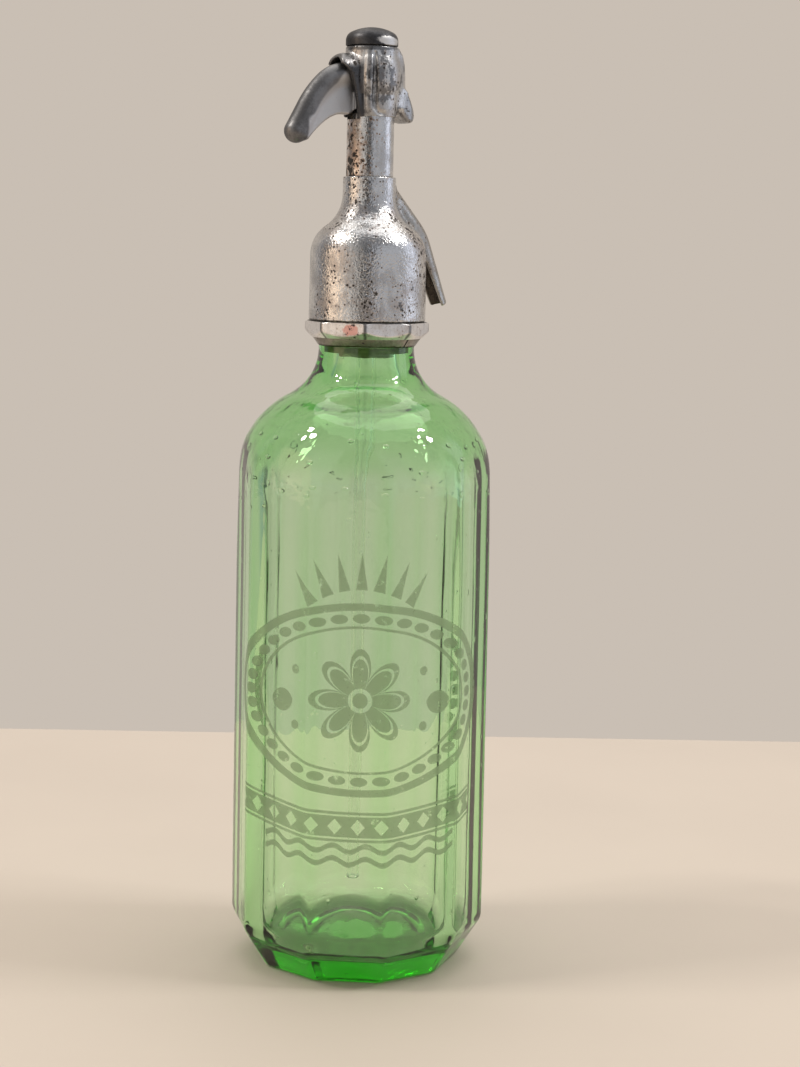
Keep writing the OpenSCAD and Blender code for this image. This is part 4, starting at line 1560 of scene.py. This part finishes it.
@dataclass
class Lever:
    """Lever: a rounded back that ends in a ball, a thinner web under it, a hub and a lifting nose."""

    ridge_r: float = 3.4
    tip_r: float = 4.0
    web_half: float = 2.2
    bend: Tuple[float, float] = (-9.8, 296.6)
    bend_r: float = 12.3
    sweep_r: float = 31.3
    bend_end: float = 132.0
    sweep_end: float = 152.8
    tip_len: float = 8.96
    pivot: Tuple[float, float] = (-5.8, 299.2)
    pin_r: float = 1.03
    hub_r: float = 1.9
    hub_half: float = 3.7
    toe_arm: float = 5.57
    toe_turn: float = 9.0
    toe_half: float = 1.5
    nose_r: float = 1.3

    def ridge(self) -> Array:
        """Centre line of the back: a bend of 42 degrees, a sweep of 20.8 degrees and a straight end."""
        bend = arc(self.bend, self.bend_r, 90, self.bend_end, 12)
        a, d = math.radians(self.bend_end), math.radians(self.sweep_end)
        c = np.array(self.bend) + (self.bend_r - self.sweep_r) * np.array([math.cos(a), math.sin(a)])
        sweep = arc(c, self.sweep_r, self.bend_end, self.sweep_end, 8)[1:]
        tip = sweep[-1] + self.tip_len * np.array([-math.sin(d), math.cos(d)])
        return np.concatenate([[[-8.4, 308.9]], bend, sweep, [tip]])

    def solid(self, x: Array, y: Array, z: Array) -> Array:
        """Distance function of the lever.

        Args:
            x, y, z: Coordinates in millimetres.

        Returns:
            Signed distance, negative in the metal.
        """
        line = self.ridge()
        length = np.concatenate([[0], np.cumsum(np.linalg.norm(np.diff(line, axis=0), axis=1))])
        best, where = np.full(x.shape, 1e9), np.zeros(x.shape)
        for i in range(len(line) - 1):
            d = line[i + 1] - line[i]
            t = np.clip(((x - line[i, 0]) * d[0] + (z - line[i, 1]) * d[1]) / (d @ d), 0, 1)
            q = np.hypot(x - line[i, 0] - t * d[0], z - line[i, 1] - t * d[1])
            near = q < best
            best = np.where(near, q, best)
            where = np.where(near, length[i] + t * (length[i + 1] - length[i]), where)
        u = np.clip(where / length[-1], 0, 1)
        back = np.hypot(best, y) - (self.ridge_r + (self.tip_r - self.ridge_r) * u**3)
        a, b, c, d = np.array([[-25.6, 286.4], [-21.4, 290], [-17, 296.2], [-9.8, 295]])
        t = np.linspace(0, 1, 9)[:, None]
        under = (1 - t) ** 3 * a + 3 * t * (1 - t) ** 2 * b + 3 * t * t * (1 - t) * c + t**3 * d
        root = [[-8.4, 295.7], [-6.7, 297.6], [-6.9, 301]]
        web_outline = np.concatenate([[[-8.1, 311.8], [-9.7, 311.8]], line[2:], under, root])
        web = smooth_max(polygon_distance(x, z, web_outline), np.abs(y) - self.web_half, 0.9)
        body = smooth_min(back, web, 2.2)
        body = smooth_max(body, x - (-8.15 + (311.8 - z) * 0.085), 0.6)
        px, pz = self.pivot
        from_pin = np.hypot(x - px, z - pz)
        hub = smooth_max(from_pin - self.hub_r, np.abs(y) - self.hub_half, 0.3)
        cheek = polygon_distance(x, z, [[-8.2, 296.6], [-6.6, 297.6], [px, pz], [-6.2, 300.9], [-8.2, 302.6]])
        cheek = smooth_max(cheek, np.abs(y) - self.hub_half, 0.5)
        body = smooth_min(body, np.minimum(hub, cheek), 0.4)
        h = math.radians(self.toe_turn)
        along = (x - px) * math.cos(h) - (z - pz) * math.sin(h)
        rise = (x - px) * math.sin(h) + (z - pz) * math.cos(h)
        beside = np.abs(y) - self.toe_half
        toe = np.maximum(np.maximum(np.abs(rise) - 0.7, beside), np.maximum(-along, along - self.toe_arm))
        nose = np.maximum(np.hypot(along - self.toe_arm, rise) - self.nose_r, beside)
        body = np.minimum(body, np.minimum(toe, nose))
        return np.maximum(body, -(from_pin - self.pin_r))

    def build(self) -> Piece:
        """Builds the lever.

        Returns:
            The lever.
        """
        obj = implicit("lever_arm", self.solid, (-33.2, -4.1, 284.6), (1.2, 4.1, 312.5), 0.23, 45.0)
        line = self.ridge()
        way = np.gradient(line, axis=0)
        way /= np.linalg.norm(way, axis=1)[:, None]
        shift = 1.6 + 3.6 * ramp(11 - np.arange(len(line)), 8)
        outer = line + shift[:, None] * np.stack([way[:, 1], -way[:, 0]], 1)

        def web(x: Array, y: Array, z: Array) -> Array:
            """Painted light: rises from 0 on the rounded back to 1 on the web, away from a line near the
            outer side; 0 towards the ball and inside the slot, which keeps that part dark as painted shade.
            """
            d = np.min([np.hypot(x - a, z - b) for a, b in outer], 0)
            return (d - self.ridge_r - 0.1) / 0.8 * ramp(x + 26.5, 2) * ramp(-8 - x, 0.5)

        set_tone(obj, web)
        return place(obj, ["lever"], "lever", Finish.LEVER)


@dataclass
class SpringCap:
    """Dome cap that closes the spring chamber."""

    radius: float = 8.9
    low: float = 311.0
    seat: float = 318.02
    top: float = 324.5
    plug_r: float = 5.98
    bore_r: float = 4.6
    dome_r: float = 16.0
    corner_r: float = 3.2

    def build(self) -> Piece:
        """Builds the cap: a dome arc and a corner arc tangent to it, a plug below and the spring's bore.

        Returns:
            The cap.
        """
        inset, lift = self.radius - self.corner_r, self.dome_r - self.corner_r
        meet = math.degrees(math.asin(inset / lift))
        middle = self.top - self.dome_r
        side = [[self.plug_r, self.low], [self.plug_r, self.seat], [8.5, self.seat], [self.radius, 318.4]]
        shell = np.concatenate(
            [
                [[0.6, 320.6], [4.3, 320.6], [self.bore_r, 320.5], [self.bore_r, self.low]],
                softened(side, 0.25, 3, False),
                arc((inset, middle + lift * math.cos(math.radians(meet))), self.corner_r, 0, 90 - meet, 10),
                arc((0, middle), self.dome_r, 90 - meet, 89.2, 14)[1:],
            ]
        )
        obj = lathe("spring_cap_dome", shell, 128, True, 35.0)
        return place(obj, ["spring_cap"], "siphon", Finish.CAP)


@dataclass
class ReturnSpring:
    """Coil spring between the washer and the cap's ceiling."""

    radius: float = 3.6
    wire_r: float = 0.4
    turns: int = 7
    rings_a_turn: int = 32
    ring_points: int = 12
    low: float = 306.32
    high: float = 320.58
    ceiling: float = 320.6
    lift: float = 1.74

    def build(self) -> Piece:
        """Builds the spring: a round wire swept along a helix, its rings square to the path, its ends closed.

        Returns:
            The spring.
        """
        rows, cols = self.turns * self.rings_a_turn + 1, self.ring_points
        t = np.linspace(0, 1, rows)[:, None]
        u = around(cols)
        a = 2 * math.pi * self.turns * t
        rise = self.high - self.low - 2 * self.wire_r
        slope = math.atan2(rise, 2 * math.pi * self.turns * self.radius)
        r, up = self.radius + self.wire_r * np.cos(u), self.wire_r * np.sin(u)
        x = r * np.cos(a) + up * math.sin(slope) * np.sin(a)
        y = r * np.sin(a) - up * math.sin(slope) * np.cos(a)
        z = self.low + self.wire_r + rise * t + up * math.cos(slope)
        rings = np.stack([x, y, z], -1)
        verts = np.concatenate([rings.reshape(-1, 3), rings[[0, -1]].mean(1)])
        quads = grid_quads(rows, cols, False, True)
        obj = write_mesh("return_spring_coil", verts, quads, end_fans(rows, cols), 50.0)
        place(obj, ["return_spring"], "siphon", Finish.STEEL)
        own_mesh(obj)
        return obj


@dataclass
class InnerPieces:
    """Pieces taken over from the CAD frame as they are, each with its finish."""

    finishes: Dict[str, Finish] = field(
        default_factory=lambda: {
            "tube_ferrule": Finish.BRASS,
            "neck_gasket": Finish.SEAL,
            "valve_seat": Finish.BRASS,
            "valve_seal": Finish.SEAL,
            "seal_holder": Finish.BRASS,
            "plunger_rod": Finish.BRASS,
            "packing_washer": Finish.SEAL,
            "gland_nut": Finish.BRASS,
            "lever_pin": Finish.STEEL,
            # The plunger head's brass is darkened as painted shade.
            "plunger_head": Finish.SHADED_BRASS,
            "spring_washer": Finish.STEEL,
        }
    )

    def build(self) -> None:
        """Dresses each node."""
        for node, finish in self.finishes.items():
            dress(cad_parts[node], finish)
            LOG.info("%s keeps its CAD solid", node)


# ---------------------------------------------------------------- studio


@dataclass
class Studio:
    """Pale floor, soft lights, pale background and the camera at the photograph's place."""

    focal_px: float = 2120.0
    photo_px: float = 1067.0
    sensor: float = 36.0
    azimuth: float = -31.0
    distance: float = 0.735
    height: float = 0.2562
    pitch: float = 8.1
    yaw: float = 1.01
    roll: float = 1.2
    lamp_aim: float = 0.18
    floor_half: float = 1500.0
    floor_near: float = -1300.0
    floor_far: float = 330.0
    wall: Colour = (0.585, 0.52, 0.455)
    outside: Colour = (0.37, 0.38, 0.41)
    ceiling: Colour = (0.2, 0.2, 0.21)
    ceiling_from: Tuple[float, float] = (0.42, 0.72)
    back_from: Tuple[float, float] = (112.0, 124.0)
    top_soft: float = 0.08
    room: Tuple[Tuple[float, float, float, float, Colour], ...] = (
        (-106, -87, 5, 0.6, (0.07, 0.065, 0.06)),
        (-85, -54, 6, 0.38, (1.7, 1.3, 0.95)),
        (-52, -18, 4, 0.7, (0.74, 0.71, 0.67)),
        (-19, 6, 3, 0.6, (0.03, 0.027, 0.025)),
        (12, 76, 8, 0.6, (0.52, 0.53, 0.56)),
        (86, 110, 6, 0.6, (1.15, 1.2, 1.35)),
    )

    def floor(self) -> Piece:
        """Flat floor at the foot's height, turned to the camera, with its far edge behind the bottle."""
        a = math.radians(self.azimuth)
        right, far = np.array([math.cos(a), math.sin(a), 0]), np.array([-math.sin(a), math.cos(a), 0])
        w, near, back = self.floor_half, self.floor_near, self.floor_far
        corners = ((-w, near), (w, near), (w, back), (-w, back))
        verts = np.array([u * right + v * far for u, v in corners])
        mesh = bpy.data.meshes.new("floor")
        mesh.from_pydata((verts * MM).tolist(), [], [(0, 1, 2, 3)])
        obj = linked("floor", mesh)
        obj.location.z = -0.0002
        mesh.materials.append(FloorPaint().build())
        return obj

    def lamp(
        self,
        name: str,
        azimuth: float,
        elevation: float,
        reach: float,
        size: float,
        watts: float,
        colour: Colour,
    ) -> None:
        """Round area lamp that faces the bottle.

        Args:
            name: Lamp name.
            azimuth: Angle round the object from the camera's side, positive to the right.
            elevation: Angle above the floor.
            reach: Distance in metres.
            size: Width in metres.
            watts: Power.
            colour: Light colour.
        """
        data = bpy.data.lights.new(name, "AREA")
        data.shape = "ELLIPSE"
        data.size, data.size_y = size, size
        data.energy = watts
        data.color = colour
        a, e = math.radians(self.azimuth + azimuth), math.radians(elevation)
        target = Vector((0, 0, self.lamp_aim))
        spot = target + reach * Vector((math.sin(a) * math.cos(e), -math.cos(a) * math.cos(e), math.sin(e)))
        facing = (target - spot).to_track_quat("-Z", "Y").to_matrix().to_4x4()
        linked(name, data).matrix_world = Matrix.Translation(spot) @ facing

    def world(self) -> None:
        """Pale wall behind the bottle, and round the camera a room that the metal and the glass show.

        The room's colour depends on the direction's angle from the camera's side, in degrees to the
        right, and on its height. Each row of room is an upright stretch of wall, a lamp's glow, a
        doorway or a window: first angle, last angle, softness of its sides, top and colour. Matt
        surfaces get the wall's even light only.
        """
        world = bpy.data.worlds.new("room")
        g = Graph(world)
        x, y, z = g.axes(g.coords["Generated"])
        a = math.radians(self.azimuth)
        side = x * math.cos(a) + y * math.sin(a)
        near = x * math.sin(a) - y * math.cos(a)
        turn = side.atan2(near) * (180 / math.pi)
        colour = self.outside
        for low, high, soft, top, tone in self.room:
            mask = turn.band(low, high, soft) * z.step(top + self.top_soft, top - self.top_soft)
            colour = g.mix(mask, colour, tone)
        colour = g.mix(z.step(*self.ceiling_from), colour, self.ceiling)
        colour = g.mix(turn.abs().step(*self.back_from), colour, self.wall)
        colour = g.mix(g.add("LightPath").outputs["Is Diffuse Ray"], colour, self.wall)
        g.feed(g.tree.nodes["Background"].inputs["Color"], colour)
        world.cycles.sampling_method = "NONE"
        bpy.context.scene.world = world

    def camera(self) -> Piece:
        """Camera from the photograph's fitted place: 71.5 mm on a 36 mm frame height."""
        data = bpy.data.cameras.new("camera")
        data.sensor_fit = "AUTO"
        data.sensor_width = self.sensor
        data.lens = self.focal_px / self.photo_px * self.sensor
        data.clip_start = 0.01
        obj = linked("camera", data)
        turn = [math.radians(v) for v in (self.azimuth, self.yaw, self.pitch, self.roll)]
        obj.matrix_world = (
            Matrix.Rotation(turn[0], 4, "Z")
            @ Matrix.Translation((0, -self.distance, self.height))
            @ Matrix.Rotation(-turn[1], 4, "Z")
            @ Matrix.Rotation(math.pi / 2 - turn[2], 4, "X")
            @ Matrix.Rotation(turn[3], 4, "Z")
        )
        bpy.context.scene.camera = obj
        return obj

    def build(self) -> None:
        """Builds the floor, the lamps, the background and the camera."""
        self.floor()
        self.world()
        for k, (turn, rise) in enumerate(((0, 0), (7, 6), (-6, 9))):
            self.lamp("lamp_left_%d" % k, -78 + turn, 44 + rise, 1.5, 0.11, 2.9, (1.0, 0.93, 0.84))
            self.lamp("lamp_right_%d" % k, 83 - turn, 43 + rise, 1.5, 0.11, 2.6, (1.0, 0.97, 0.93))
        self.lamp("lamp_top", 160, 76, 2.0, 2.4, 22, (1.0, 0.98, 0.95))
        self.camera()
        bpy.context.scene.view_settings.view_transform = "Standard"


def main() -> None:
    """Builds the siphon's sub-assemblies in order, then the studio."""
    logging.basicConfig(level=logging.INFO, format="%(name)s: %(message)s")
    Bottle().build()
    DipTube().build()
    Bung().build()
    Collar().build()
    head = HeadBody()
    head.build()
    Spout().build(head)
    LeverHousing().build()
    Lever().build()
    SpringCap().build()
    ReturnSpring().build()
    InnerPieces().build()
    Studio().build()


if __name__ == "__main__":
    main()
